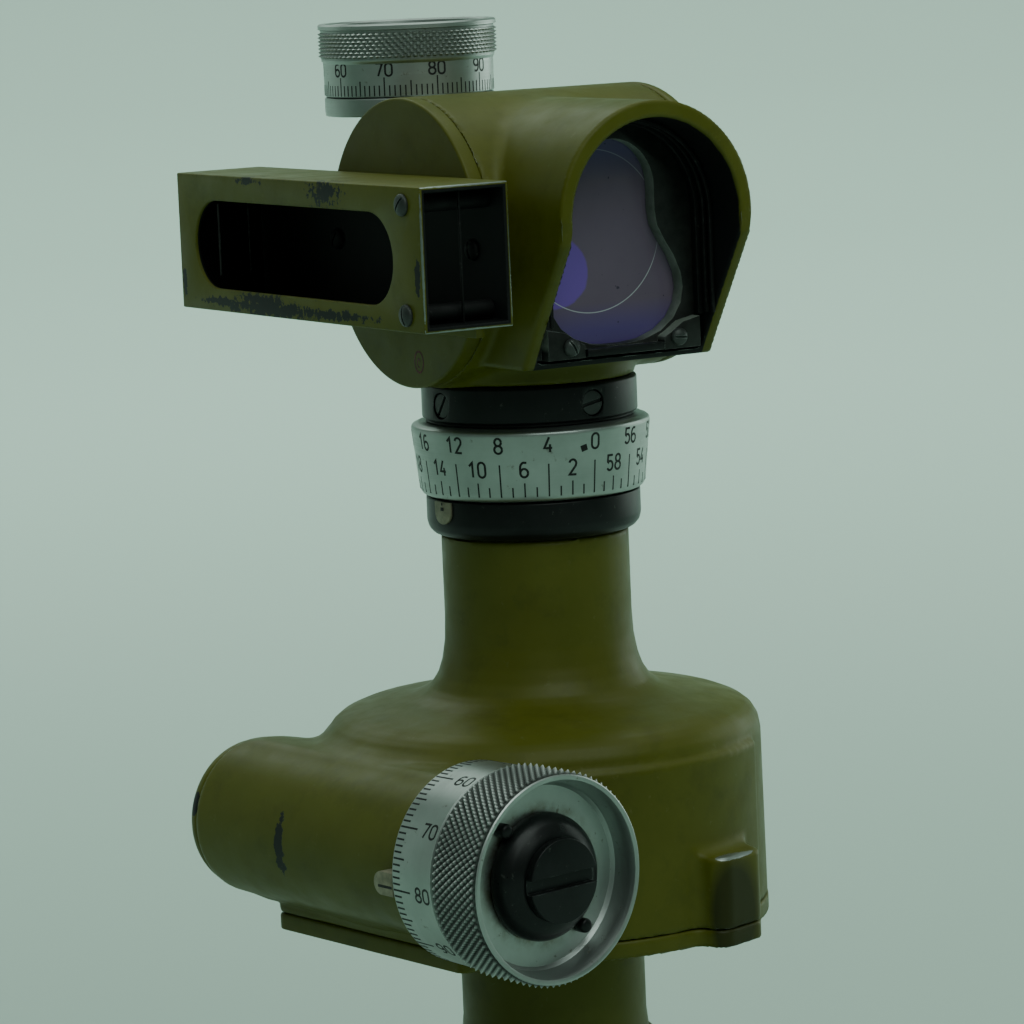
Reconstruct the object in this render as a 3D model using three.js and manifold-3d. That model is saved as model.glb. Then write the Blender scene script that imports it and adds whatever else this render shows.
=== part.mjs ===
// Panoramic prism telescope: a turning prism head with a collimating sight box, a graduated
// azimuth ring and worm drum on a fixed column, and an eyepiece elbow at the foot.
// Millimetres. +Z up along the azimuth axis, -Y towards the observer, +X the observer's right.
import * as THREE from 'three';
import { mergeVertices } from 'three/addons/utils/BufferGeometryUtils.js';
import Module from 'manifold-3d';

const wasm = await Module();
wasm.setup();

// ---------------------------------------------------------------- driving dimensions
const EYE_Z = 28;              // eyepiece axis above the foot
const SIGHT_Z = 206;           // line of sight above the foot
const HEAD_TURN = -7.2;        // degrees, line of sight from +X at rest
const BASE_Z = 78.7;           // underside of the base cover
const SEAM_Z = 82;             // joint between base cover and main housing
const SHOULDER_Z = 113;        // upper edge of the round wall
const WALL_R = 40.6;
const PAD_R = 41.2;            // raised pad on the wall's observer side
const NECK_R = 17.3;
const BORE_R = 13.5;           // bearing bore in the neck
const ROTOR_R = 13.3;
const TAIL_R = 17.15;
const RING_Z = [158.95, 172.3];
const CLAMP_TOP_Z = 179.7;
const CLAMP_SCREW_Z = 176.1;
const INDEX_PLATE = { turn: -5.4, half: 2.6, top: 158.55, foot: 156.6 };   // degrees from -Y

const WORM_Y = -41;            // azimuth worm axis, parallel to X
const WORM_Z = 99.8;
const WORM_HOUSE_R = 14.5;
const DRUM_X = [29.1, 40.6, 52.9];   // back edge, start of the knurl, front rim
const DRUM_SLOT_TURN = 91;     // degrees, slot of the drum's screw
const INDEX_TAB_Z = 98.3;      // fixed index beside the drum's scale

const HEAD_R = 26.2;
const COVER_W = [22.4, 25.3];
const FAR_W = -28;
const FOOT_U = 32.9;           // front of the window frame's feet
const REAR_U = -40.3;          // reflector worm axis behind the head
const REAR_Y = 1.25;           // its offset from the head's middle plane
const BOX_U = [-47.95, 40.2];  // sight box: length, reach to the side, height
const BOX_W = [27.7, 45.45];
const BOX_Z = [193.65, 218.75];
const SIGHT_SCREW_U = 34.4;

const GEAR_TEETH = 60;
const WHEEL_R = 33.2;
const TILT_TEETH = 120;
const TILT_R = 36;
const SEG = 24;
const FINE = 36;

const rad = THREE.MathUtils.degToRad;

// ---------------------------------------------------------------- shape helpers
function solid(geometry) {
  const bare = geometry.clone();
  bare.deleteAttribute('normal');
  bare.deleteAttribute('uv');
  const merged = mergeVertices(bare, 1e-4);
  const p = merged.attributes.position.array;
  const source = merged.index.array;
  const tris = [];
  let volume = 0;
  for (let i = 0; i < source.length; i += 3) {
    const [a, b, c] = [source[i], source[i + 1], source[i + 2]];
    if (a === b || b === c || a === c) continue;
    tris.push(a, b, c);
    const [x, y, z] = [3 * a, 3 * b, 3 * c];
    volume += p[x] * (p[y + 1] * p[z + 2] - p[y + 2] * p[z + 1])
      - p[x + 1] * (p[y] * p[z + 2] - p[y + 2] * p[z])
      + p[x + 2] * (p[y] * p[z + 1] - p[y + 1] * p[z]);
  }
  if (volume < 0) {
    for (let i = 0; i < tris.length; i += 3) [tris[i + 1], tris[i + 2]] = [tris[i + 2], tris[i + 1]];
  }
  return new wasm.Manifold(new wasm.Mesh({
    numProp: 3, vertProperties: new Float32Array(p), triVerts: new Uint32Array(tris),
  }));
}

function surface(manifold) {
  const mesh = manifold.getMesh();
  const geometry = new THREE.BufferGeometry();
  const xyz = new Float32Array(mesh.numVert * 3);
  for (let i = 0; i < mesh.numVert; i += 1) {
    for (let k = 0; k < 3; k += 1) xyz[3 * i + k] = mesh.vertProperties[i * mesh.numProp + k];
  }
  geometry.setAttribute('position', new THREE.BufferAttribute(xyz, 3));
  geometry.setIndex(new THREE.BufferAttribute(new Uint32Array(mesh.triVerts), 1));
  geometry.computeVertexNormals();
  return geometry;
}

// Each returns a geometry standing on the Z axis; profiles are [radius, height] pairs.
function turned(profile, segments = SEG) {
  const points = profile.map(([r, z]) => new THREE.Vector2(r, z));
  if (profile[0][0] > 0) points.push(points[0].clone());
  return new THREE.LatheGeometry(points, segments).rotateX(Math.PI / 2);
}
const rod = (r, z0, z1, segments = SEG) => turned([[0, z0], [r, z0], [r, z1], [0, z1]], segments);
const pipe = (ri, ro, z0, z1, segments = SEG) =>
  turned([[ri, z0], [ro, z0], [ro, z1], [ri, z1]], segments);
const block = (x0, x1, y0, y1, z0, z1) => new THREE.BoxGeometry(x1 - x0, y1 - y0, z1 - z0)
  .translate((x0 + x1) / 2, (y0 + y1) / 2, (z0 + z1) / 2);

const alongX = (geometry, y = 0, z = 0) => geometry.rotateY(Math.PI / 2).translate(0, y, z);
const alongW = (geometry, x = 0, z = 0) => geometry.rotateX(Math.PI / 2).translate(x, 0, z);

const extruded = (shape, depth, segments = 16) =>
  new THREE.ExtrudeGeometry(shape, { depth, bevelEnabled: false, curveSegments: segments });
const extrudeZ = (shape, z0, z1, segments) => extruded(shape, z1 - z0, segments).translate(0, 0, z0);
const extrudeX = (shape, x0, x1, segments) => extruded(shape, x1 - x0, segments)
  .applyMatrix4(new THREE.Matrix4().makeBasis(
    new THREE.Vector3(0, 1, 0), new THREE.Vector3(0, 0, 1), new THREE.Vector3(1, 0, 0)))
  .translate(x0, 0, 0);
const extrudeW = (shape, w0, w1, segments) =>
  extruded(shape, w1 - w0, segments).translate(0, 0, w0).rotateX(Math.PI / 2);

function polygon(points) {
  return new THREE.Shape(points.map(([x, y]) => new THREE.Vector2(x, y)));
}

function roundedBar(x0, x1, y0, y1) {        // slot shape with half-round ends
  const r = (y1 - y0) / 2;
  const shape = new THREE.Shape();
  shape.moveTo(x0 + r, y0);
  shape.lineTo(x1 - r, y0);
  shape.absarc(x1 - r, y0 + r, r, -Math.PI / 2, Math.PI / 2, false);
  shape.lineTo(x0 + r, y1);
  shape.absarc(x0 + r, y0 + r, r, Math.PI / 2, 1.5 * Math.PI, false);
  return shape;
}

const union = (...parts) => parts.map((g) => (g.getMesh ? g : solid(g))).reduce((a, b) => a.add(b));
const cut = (base, ...tools) => tools.reduce(
  (a, t) => a.subtract(t.getMesh ? t : solid(t)), base.getMesh ? base : solid(base));

// ---------------------------------------------------------------- materials
const paint = (color, roughness, metalness = 0) =>
  new THREE.MeshStandardMaterial({ color, roughness, metalness });
const OLIVE = [0x4c4d16, 0.45, 0.1];
const STEEL = [0x9aa3a0, 0.35, 0.9];
const BLACK = [0x16181a, 0.5, 0.3];
const BRASS = [0xa8863c, 0.4, 0.9];
const GLASS = [0xb9cfd6, 0.05, 0];
const VIOLET = [0x5546a8, 0.06, 0.1];
const CREAM = [0xb6ac92, 0.6, 0.1];
const RUBBER = [0x1b1b1c, 0.9, 0];

const prismTelescope = new THREE.Group();
const fixed = new THREE.Group();
const head = new THREE.Group();
head.rotation.z = rad(HEAD_TURN);
prismTelescope.add(fixed, head);

function piece(group, name, shape, look, place) {
  const mesh = new THREE.Mesh(shape.getMesh ? surface(shape) : surface(solid(shape)), paint(...look));
  mesh.name = name;
  if (place) place(mesh);
  group.add(mesh);
  return mesh;
}

// Slotted cheese-head screw, head underside at height 0, shank below.
function screw(headR, headH, shankR, shankL, slot = 0.7, segments = 16) {
  const body = solid(turned([[0, -shankL], [shankR, -shankL], [shankR, 0], [headR, 0],
    [headR, headH * 0.75], [headR * 0.86, headH], [0, headH]], segments));
  return cut(body, block(-headR - 1, headR + 1, -slot / 2, slot / 2, headH * 0.45, headH + 1));
}

// ---------------------------------------------------------------- fixed column and base
const wallPad = (() => {
  const shape = new THREE.Shape();
  shape.absarc(0, 0, PAD_R, rad(-70), rad(31.5), false);
  shape.absarc(0, 0, WALL_R - 2.5, rad(31.5), rad(-70), true);
  return shape;
})();
const lugShape = polygon([[30, -6.4], [45.2, -6.4], [46.2, -5.4], [46.2, 5.4], [45.2, 6.4], [30, 6.4]]);
const lug = (z0, z1) => extrudeZ(lugShape, z0, z1).rotateZ(rad(10));
const footPad = polygon([[-29.5, -20], [-29.5, -40.5], [-28.5, -41.5], [24.5, -41.5], [25.5, -40.5],
  [25.5, -20]]);
const drumPocket = () => alongX(rod(19.3, 28.0, 62, FINE), WORM_Y, WORM_Z);

let housing = union(
  turned([[0, SEAM_Z], [WALL_R, SEAM_Z], [WALL_R, SHOULDER_Z], [40.1, 115.4], [39.2, 116.8],
    [37.8, 117.9], [36, 118.7], [29.4, 120.2], [24.4, 121.0], [22.1, 121.8], [20.4, 123.1],
    [19.0, 125.2], [18.1, 128], [17.5, 131.5], [NECK_R, 136], [NECK_R, 151.4], [15, 151.4],
    [15, 158.4], [0, 158.4]], FINE),
  extrudeZ(wallPad, SEAM_Z, SHOULDER_Z, 14),
  lug(SEAM_Z, 95),
  extrudeZ(footPad, SEAM_Z, 90),
  alongX(rod(WORM_HOUSE_R, -34.7, 27.8, 28), WORM_Y, WORM_Z),
  extrudeZ(polygon([[-30, -20], [-29.5, -41], [27.8, -41], [27.8, -20]]), 88, 112.8),
);
housing = cut(
  housing,
  turned([[0, 80], [34.6, 80], [34.6, 109], [33, 112], [30, 113.2], [16, 114.6], [BORE_R, 116.5],
    [BORE_R, 160], [0, 160]]),
  alongX(rod(9.4, -15.8, 30, 24), WORM_Y, WORM_Z),
  alongX(rod(9.4, -40, -29, 24), WORM_Y, WORM_Z),
  alongX(rod(4.06, -34, -10, 24), WORM_Y, WORM_Z),
  drumPocket(),
);
piece(fixed, 'main_housing', housing, OLIVE);

let baseCover = union(rod(WALL_R, BASE_Z, SEAM_Z, FINE), extrudeZ(wallPad, BASE_Z, SEAM_Z, 14),
  extrudeZ(footPad, BASE_Z, SEAM_Z), lug(BASE_Z, SEAM_Z), pipe(31.5, 34.4, SEAM_Z - 1, 85));
baseCover = cut(baseCover, rod(TAIL_R + 0.35, 70, 90, FINE), drumPocket());
piece(fixed, 'base_cover', baseCover, OLIVE);

piece(fixed, 'tail_tube', turned([[14.2, 54.05], [17.5, 54.05], [17.5, 57], [TAIL_R, 60.5],
  [TAIL_R, 81.7], [14.2, 81.7]]), OLIVE);
piece(fixed, 'objective_cell', turned([[11.6, 60], [14.1, 60], [14.1, 75], [12.4, 75], [12.4, 63],
  [11.6, 63]]), BLACK);
piece(fixed, 'objective_lens', turned([[0, 63.6], [6, 64.1], [12.2, 65.6], [12.2, 68.4], [6, 70.2],
  [0, 70.8]], 24), GLASS);

// Elbow with the roof prism that turns the beam towards the eyepiece.
const elbowSide = polygon([[-19, 54], [17, 54], [21, 50], [21, 25], [5.5, 4.2], [-19, 4.2]]);
const elbowBlock = new THREE.ExtrudeGeometry(elbowSide, {
  depth: 34, bevelEnabled: true, bevelThickness: 2, bevelSize: 1.2, bevelOffset: -1.2, bevelSegments: 2,
}).applyMatrix4(new THREE.Matrix4().makeBasis(
  new THREE.Vector3(0, 1, 0), new THREE.Vector3(0, 0, 1), new THREE.Vector3(1, 0, 0)))
  .translate(-17, 0, 0);
const prismRoom = polygon([[-14.5, 12], [7.8, 12], [14.5, 21], [14.5, 44], [-14.5, 44]]);
piece(fixed, 'eyepiece_elbow', cut(elbowBlock, extrudeX(prismRoom, -14.5, 14.5),
  rod(14.2, 40, 60), alongW(rod(11, 10, 30, 40), 0, EYE_Z), block(-12, 12, -14, 2, 0, 14)), OLIVE);
piece(fixed, 'elbow_bottom_cover', extrudeZ(polygon([[-17, -17.5], [-15.5, -19], [15.5, -19],
  [17, -17.5], [17, 4.5], [15.5, 6], [-15.5, 6], [-17, 4.5]]), 0, 4.15), OLIVE);
const roofWedge = extruded(polygon([[0, 0], [30, 30], [-30, 30]]), 60).translate(0, 0, -30)
  .applyMatrix4(new THREE.Matrix4().makeBasis(new THREE.Vector3(1, 0, 0),
    new THREE.Vector3(0, -1, 1).normalize(), new THREE.Vector3(0, -1, -1).normalize()));
piece(fixed, 'roof_prism', solid(extrudeX(polygon([[12.5, 12.5], [-12.5, 12.5], [-12.5, -12.5]]),
  -12.5, 12.5)).intersect(solid(roofWedge)), GLASS,
(m) => m.position.set(0, 0, EYE_Z));

// Eyepiece, lying along -Y.
const eyepiece = new THREE.Group();
eyepiece.position.z = EYE_Z;
eyepiece.rotation.x = Math.PI / 2;
fixed.add(eyepiece);
piece(eyepiece, 'eyepiece_barrel', turned([[10.9, 19.05], [16.5, 19.05], [16.5, 22], [14.4, 22.6],
  [14.4, 29], [15.6, 30], [15.6, 42], [14.8, 43], [13, 43], [13, 51], [11.8, 51], [11.8, 47],
  [10.9, 47]]), BLACK);
piece(eyepiece, 'reticle', rod(10.8, 21, 22.4, 24), GLASS);
piece(eyepiece, 'field_lens', turned([[0, 29], [5, 29.4], [10.8, 31], [10.8, 33.5], [0, 33.5]], 24),
  GLASS);
piece(eyepiece, 'eye_lens', turned([[0, 38.5], [10.8, 38.5], [10.8, 41.5], [5, 43.1], [0, 43.6]], 24),
  GLASS);
piece(eyepiece, 'eyecup', turned([[13.1, 43.2], [16, 43.2], [16.4, 51], [18, 58], [20.6, 67],
  [22, 72.6], [22, 74], [21.2, 74.5], [20.3, 73.8], [18.8, 67.5], [16.4, 59], [14.4, 53], [13.1, 52]]),
RUBBER);

// Fixed index ring below the graduated ring.
const plateBed = pipe(19.85, 20.1, 152.2, 158.6, FINE);
piece(fixed, 'lower_index_ring', turned([[15.2, 151.5], [17.6, 151.5], [18.6, 151.9], [19.4, 152.8],
  [19.75, 154.1], [19.75, 158.65], [15.2, 158.65]], FINE), BLACK);
const plateShape = new THREE.Shape();
plateShape.moveTo(-INDEX_PLATE.half, INDEX_PLATE.top);
plateShape.lineTo(-INDEX_PLATE.half, INDEX_PLATE.foot);
plateShape.absellipse(0, INDEX_PLATE.foot, INDEX_PLATE.half, 2.2, Math.PI, 2 * Math.PI, false);
plateShape.lineTo(INDEX_PLATE.half, INDEX_PLATE.top);
piece(fixed, 'index_plate', solid(plateBed).intersect(solid(extrudeW(plateShape, 17, 22, 12))), CREAM,
  (m) => { m.rotation.z = rad(INDEX_PLATE.turn); });

// Worm housing fittings.
piece(fixed, 'worm_end_cap', union(
  alongX(turned([[0, -38.7], [11.6, -38.7], [13.2, -38.1], [14.0, -36.8], [14.0, -34.75], [0, -34.75]],
    28), WORM_Y, WORM_Z),
  alongX(rod(9.2, -35, -30.2, 24), WORM_Y, WORM_Z)), OLIVE);
piece(fixed, 'outer_bushing', alongX(pipe(4.06, 9.2, 17, 27.8, 24), WORM_Y, WORM_Z), BRASS);
piece(fixed, 'drum_index_tab', cut(
  extrudeW(roundedBar(23.2, 32, INDEX_TAB_Z - 2.1, INDEX_TAB_Z + 2.1), 50, 58.4, 10),
  alongX(rod(WORM_HOUSE_R + 0.05, 10, 40, 40), WORM_Y, WORM_Z), block(28.5, 40, -62, -40, 90, 110)),
CREAM);

// ---------------------------------------------------------------- azimuth worm and drum
// A lathed bar whose surface is moved out along a single-start right-hand helix. The crest takes
// 0.15 of the pitch to each side of its middle and the flank ends at 0.29.
function wormBar(profile, threadFrom, turns, pitch, rootR, tipR, phase, segments, steps) {
  const rows = [];
  const length = turns * pitch;
  for (let i = 0; i <= turns * steps; i += 1) {
    rows.push([rootR, threadFrom + (length * i) / (turns * steps)]);
  }
  const points = [...profile.before, ...rows, ...profile.after];
  const geometry = turned(points, segments);
  const p = geometry.attributes.position;
  for (let i = 0; i < p.count; i += 1) {
    const z = p.getZ(i);
    const r = Math.hypot(p.getX(i), p.getY(i));
    const inside = z > threadFrom + 1e-3 && z < threadFrom + length - 1e-3;
    if (!inside || r < rootR - 1e-3) continue;
    const turn = Math.atan2(p.getY(i), p.getX(i)) / (2 * Math.PI);
    const at = z / pitch - turn - phase;
    const off = Math.abs(at - Math.round(at)) * pitch;      // axial distance from the crest
    const rise = THREE.MathUtils.clamp((0.29 * pitch - off) / (0.14 * pitch), 0, 1);
    const k = (rootR + rise * (tipR - rootR)) / r;
    p.setX(i, p.getX(i) * k);
    p.setY(i, p.getY(i) * k);
  }
  return geometry;
}

const wormPitch = (2 * Math.PI * WHEEL_R) / GEAR_TEETH;
// alongX carries the bar's +Z to +X and its +X to -Z, so +Y stays the side facing the wheel.
const azimuthWorm = wormBar({
  before: [[0, -29.8], [4, -29.8], [4, -14.5], [7, -14.5]],
  after: [[7, 16], [4, 16], [4, 49.1], [0, 49.1]],
}, -2.5 * wormPitch, 5, wormPitch, 7, 8.8, -0.25, 16, 4);
piece(fixed, 'azimuth_worm', alongX(azimuthWorm, WORM_Y, WORM_Z), STEEL);

piece(fixed, 'azimuth_drum', alongX(turned([[4.05, 32], [9, 32], [9, 30.4], [15, 30.4],
  [15.5, DRUM_X[0]], [17.9, DRUM_X[0]], [18.2, 40.2], [17.9, 40.4], [18.8, DRUM_X[1]], [18.9, 40.9],
  [18.9, 52.4], [18.5, DRUM_X[2]], [17.3, DRUM_X[2]], [16.9, 52.2], [16.3, 47.7], [4.05, 47.7]], FINE),
WORM_Y, WORM_Z), STEEL);
piece(fixed, 'drum_collar', alongX(turned([[4.1, 47.8], [11.2, 47.8], [11.2, 49.5], [10.2, 51.0],
  [8.0, 52.6], [2.6, 52.6], [2.6, 49.4], [4.1, 49.4]], 28), WORM_Y, WORM_Z), BLACK);
piece(fixed, 'drum_screw', screw(7.4, 1.7, 2.4, 3.2, 2.5, 24), BLACK, (m) => {
  m.rotation.set(0, Math.PI / 2, 0);
  m.rotateZ(rad(DRUM_SLOT_TURN));
  m.position.set(52.7, WORM_Y, WORM_Z);
});
[[-8.6, 9.5], [8.1, -9.9]].forEach(([y, z], i) => piece(fixed, `drum_pin_${i + 1}`,
  turned([[0, 0], [1.3, 0], [1.3, 2], [0.8, 2.5], [0, 2.5]], 14), BLACK, (m) => {
    m.rotation.y = Math.PI / 2;
    m.position.set(47.8, WORM_Y + y, WORM_Z + z);
  }));

// ---------------------------------------------------------------- turning head: rotor and rings
function wheelShape(radius, teeth, rootDrop, tipRise, boreR, from = 0) {
  const shape = new THREE.Shape();
  const pitchAngle = (2 * Math.PI) / teeth;
  for (let i = 0; i < teeth; i += 1) {
    const mid = from + i * pitchAngle;
    [[-0.24, -rootDrop], [-0.13, tipRise], [0.13, tipRise], [0.24, -rootDrop]].forEach(([a, r], k) => {
      const x = (radius + r) * Math.cos(mid + a * pitchAngle);
      const y = (radius + r) * Math.sin(mid + a * pitchAngle);
      if (i === 0 && k === 0) shape.moveTo(x, y); else shape.lineTo(x, y);
    });
  }
  shape.closePath();
  const bore = new THREE.Path();
  bore.absarc(0, 0, boreR, 0, 2 * Math.PI, true);
  shape.holes.push(bore);
  return shape;
}

const rotor = new THREE.Group();               // turns with the head, drawn in row axes
prismTelescope.add(rotor);
const wheelTeeth = wheelShape(WHEEL_R, GEAR_TEETH, 1.6, 0.4, ROTOR_R + 0.1, rad(-90 + 3));
piece(rotor, 'worm_wheel', cut(extrudeZ(wheelTeeth, WORM_Z - 2.6, WORM_Z + 2.6, 12),
  pipe(18, 29, WORM_Z + 0.8, WORM_Z + 4, 16), pipe(18, 29, WORM_Z - 4, WORM_Z - 0.8, 16)), BRASS);
piece(rotor, 'rotor_tube', turned([[11.7, 90], [15.4, 90], [15.4, 96.4], [ROTOR_R, 96.4],
  [ROTOR_R, 182.8], [11.7, 182.8]]), STEEL);
const ringBore = ROTOR_R + 0.15;
piece(rotor, 'azimuth_ring', turned([[ringBore, RING_Z[0]], [19.9, RING_Z[0]], [20.75, 159.8],
  [21.0, 161], [22.0, 171.4], [21.6, 171.8], [20.4, RING_Z[1]], [ringBore, RING_Z[1]]], FINE), STEEL);

const clampAngles = [-3.8, 86.2, 176.2, 266.2];
let clampRing = solid(turned([[ringBore, RING_Z[1] + 0.1], [19.85, RING_Z[1] + 0.1], [19.85, 179.2],
  [19.4, CLAMP_TOP_Z], [ringBore, CLAMP_TOP_Z]], FINE));
for (const deg of clampAngles) {
  clampRing = cut(clampRing, alongX(rod(2.45, 18.1, 25, 14), 0, CLAMP_SCREW_Z).rotateZ(rad(deg)));
}
piece(rotor, 'clamp_ring', clampRing, BLACK);
clampAngles.forEach((deg, i) => piece(rotor, `clamp_screw_${i + 1}`, screw(2.3, 1.5, 0.9, 0.05, 0.6, 12),
  BLACK, (m) => {
    m.rotation.set(0, Math.PI / 2, 0);
    m.rotateOnWorldAxis(new THREE.Vector3(0, 0, 1), rad(deg));
    m.rotateZ(rad(101 + 15 * i));
    m.position.set(18.25 * Math.cos(rad(deg)), 18.25 * Math.sin(rad(deg)), CLAMP_SCREW_Z);
  }));

// Erecting prism in its cage, turning at half speed inside the rotor tube.
const cagePart = new THREE.Group();
prismTelescope.add(cagePart);
piece(cagePart, 'dove_cage', cut(turned([[0, 116], [11.3, 116], [11.3, 121], [10.6, 122], [10.6, 146],
  [11.3, 147], [11.3, 152], [0, 152]], 24), block(-6.7, 6.7, -4.6, 4.6, 110, 160)), BRASS);
piece(cagePart, 'dove_prism', extrudeX(polygon([[-4.3, 118.5], [4.3, 127], [4.3, 141], [-4.3, 149.5]]),
  -6.4, 6.4), GLASS);

// ---------------------------------------------------------------- turning head: housing
// Head axes: x = u along the line of sight, y = -w, where w points to the sight box side.
function arch(half, floor, springZ) {
  const shape = new THREE.Shape();
  shape.moveTo(-half, floor);
  shape.lineTo(half, floor);
  shape.lineTo(half, springZ);
  shape.absarc(0, springZ, half, 0, Math.PI, false);
  shape.closePath();
  return shape;
}
const rearShell = (r, x1, z0, z1) => union(rod(r, z0, z1).translate(REAR_U, REAR_Y, 0),
  block(REAR_U, x1, REAR_Y - r, REAR_Y + r, z0, z1));
const overWormAxis = (m) => m.position.set(REAR_U, REAR_Y, 0);

let headBody = union(
  alongW(rod(HEAD_R, -24.4, 22.3, FINE), 0, SIGHT_Z),
  rod(19.5, 179.9, 192, 32),
  extrudeX(arch(20, 184.3, 211), 0, 24.2, 14),
  extrudeX(arch(17.2, 185.2, 210.5), 20, 25.2, 14),
  rearShell(9.2, -18, 189, 227),
);
headBody = cut(
  headBody,
  alongW(rod(22.2, -30, 30, 28), 0, SIGHT_Z),
  rod(BORE_R + 0.1, 170, 200),
  extrudeX(arch(14.6, 188, 210), 5, 40, 14),
  extrudeX(arch(17.5, 180, 211), 25.2, 40, 14),
  block(REAR_U - 6.3, -15, REAR_Y - 5, REAR_Y + 5, 190.5, 223),
  rod(6.4, 190.5, 223, 24).translate(REAR_U, REAR_Y, 0),
  rod(3.5, 220, 230, 24).translate(REAR_U, REAR_Y, 0),
);
piece(head, 'head_housing', headBody, OLIVE);

const coverBoss = (r0, r1, w0, w1) => alongW(pipe(r0, r1, w0, w1, 24), 0, SIGHT_Z);
piece(head, 'left_cover', union(alongW(turned([[0, COVER_W[0]], [HEAD_R, COVER_W[0]],
  [HEAD_R, COVER_W[1] - 0.3], [HEAD_R - 0.3, COVER_W[1]], [0, COVER_W[1]]], FINE), 0, SIGHT_Z),
coverBoss(4.1, 7, 17.5, COVER_W[0] + 0.2)), OLIVE);
piece(head, 'right_cover', union(alongW(turned([[0, FAR_W], [25, FAR_W], [HEAD_R, FAR_W + 1.4],
  [HEAD_R, -24.5], [0, -24.5]], FINE), 0, SIGHT_Z), coverBoss(4.1, 7, -24.7, -17.5)), OLIVE);

// Hood over the window, its lower front edge cut back.
const hoodCut = polygon([[44.3, 180], [60, 180], [60, 240], [45, 240], [44.3, 206.7], [32.2, 187.3],
  [30.5, 184.9], [30.5, 180]]);
piece(head, 'window_hood', cut(
  extrudeX(arch(20, 184.3, 211), 24.5, 45, 18),
  extrudeX(arch(17.6, 185.5, 210.2), 27.6, 50, 18),
  extrudeX(arch(17.45, 183, 210.5), 20, 27.7, 18),
  extrudeW(hoodCut, -30, 30), alongW(rod(HEAD_R + 0.3, -30, 30, FINE), 0, SIGHT_Z)), OLIVE);

function windowOutline() {                    // narrow round top, wide round foot, in (y, z)
  const shape = new THREE.Shape();
  shape.moveTo(-4.5, 188.0);
  shape.quadraticCurveTo(-10.2, 189.4, -13.1, 194.2);
  shape.quadraticCurveTo(-14.9, 198.8, -12.1, 202.8);
  shape.quadraticCurveTo(-8.9, 206.5, -8.8, 210);
  shape.absarc(0, 215.1, 8.8, Math.PI, 0, true);
  shape.lineTo(8.8, 210);
  shape.quadraticCurveTo(8.9, 206.5, 12.1, 202.8);
  shape.quadraticCurveTo(14.9, 198.8, 13.1, 194.2);
  shape.quadraticCurveTo(10.2, 189.4, 4.5, 188.0);
  shape.quadraticCurveTo(0, 187.3, -4.5, 188.0);
  return shape;
}
piece(head, 'window_glass', extrudeX(arch(15.6, 186.6, 209.5), 25.5, 27.6, 14), VIOLET);
const footBlock = (side) => extrudeX(polygon([[8.4, 185.9], [16.2, 185.9], [16.2, 191.4], [12.4, 190.6],
  [9.6, 188.8], [8.4, 188.2]].map(([y, z]) => [side * y, z])), 30.4, FOOT_U);
const frame = union(
  cut(extrudeX(arch(17.3, 185.9, 209.9), 27.9, 30.6, 14), extrudeX(windowOutline(), 20, 40, 5)),
  footBlock(1), footBlock(-1), block(30.4, 32, -8.6, 8.6, 185.9, 187.2),
);
const frameScrews = [-11.4, 11.4];
piece(head, 'window_frame', frame, BLACK);
piece(head, 'frame_bar', block(32.1, 33.3, -8.2, 8.2, 186.0, 187.4), BLACK);
frameScrews.forEach((y, i) => piece(head, `frame_screw_${i + 1}`, screw(1.6, 1.3, 0.8, 0.05, 0.5, 12),
  BLACK, (m) => {
    m.rotation.set(0, Math.PI / 2, 0);
    m.rotateZ(0.6 + i);
    m.position.set(FOOT_U + 0.2, y, 188);
  }));

// ---------------------------------------------------------------- sight box on the left cover
piece(head, 'sight_mount_plate', block(-29, 27, -27.4, -25.6, 190.6, 218.4), OLIVE);
piece(head, 'sight_box', cut(block(BOX_U[0], BOX_U[1], -BOX_W[1], -BOX_W[0], BOX_Z[0], BOX_Z[1]),
  block(BOX_U[0] - 1, BOX_U[1] + 1, -BOX_W[1] + 1, -BOX_W[0] - 1, BOX_Z[0] + 1, BOX_Z[1] - 1),
  extrudeW(roundedBar(-41.6, 30.2, 197.8, 214), 40, 50, 12)), OLIVE);
piece(head, 'rear_sight_plate', cut(block(-47.3, -46.3, -44.2, -28.9, 194.9, 217.5),
  block(-50, -44, -38.6, -37.4, 199, 212.5), block(-50, -44, -32, -31.2, 199, 212.5)), BLACK);
piece(head, 'front_sight_blade', block(36.5, 37.3, -36.6, -35.2, 194.9, 217.5), BLACK);
const spacerZ = [196.6, 215.6];
spacerZ.forEach((z, i) => {
  piece(head, `sight_spacer_${i + 1}`, alongW(pipe(0.95, 1.6, 29, 44.1, 12), SIGHT_SCREW_U, z), BLACK);
  piece(head, `sight_screw_${i + 1}`, screw(2.1, 1.1, 0.85, 0.05, 0.6, 12), BLACK, (m) => {
    m.rotation.set(Math.PI / 2, 0, 0);
    m.rotateZ(0.4 + 0.9 * i);
    m.position.set(SIGHT_SCREW_U, -BOX_W[1] - 0.15, z);
  });
});
[-17.5, 29.5].forEach((u, i) => piece(head, `sight_fixing_screw_${i + 1}`,
  screw(1.9, 1.2, 0.8, 0.05, 0.6, 12), BLACK, (m) => {
    m.rotation.set(Math.PI / 2, 0, 0);
    m.rotateZ(1.1 + 0.7 * i);
    m.position.set(u, -28.9, 206.4);
  }));

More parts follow.
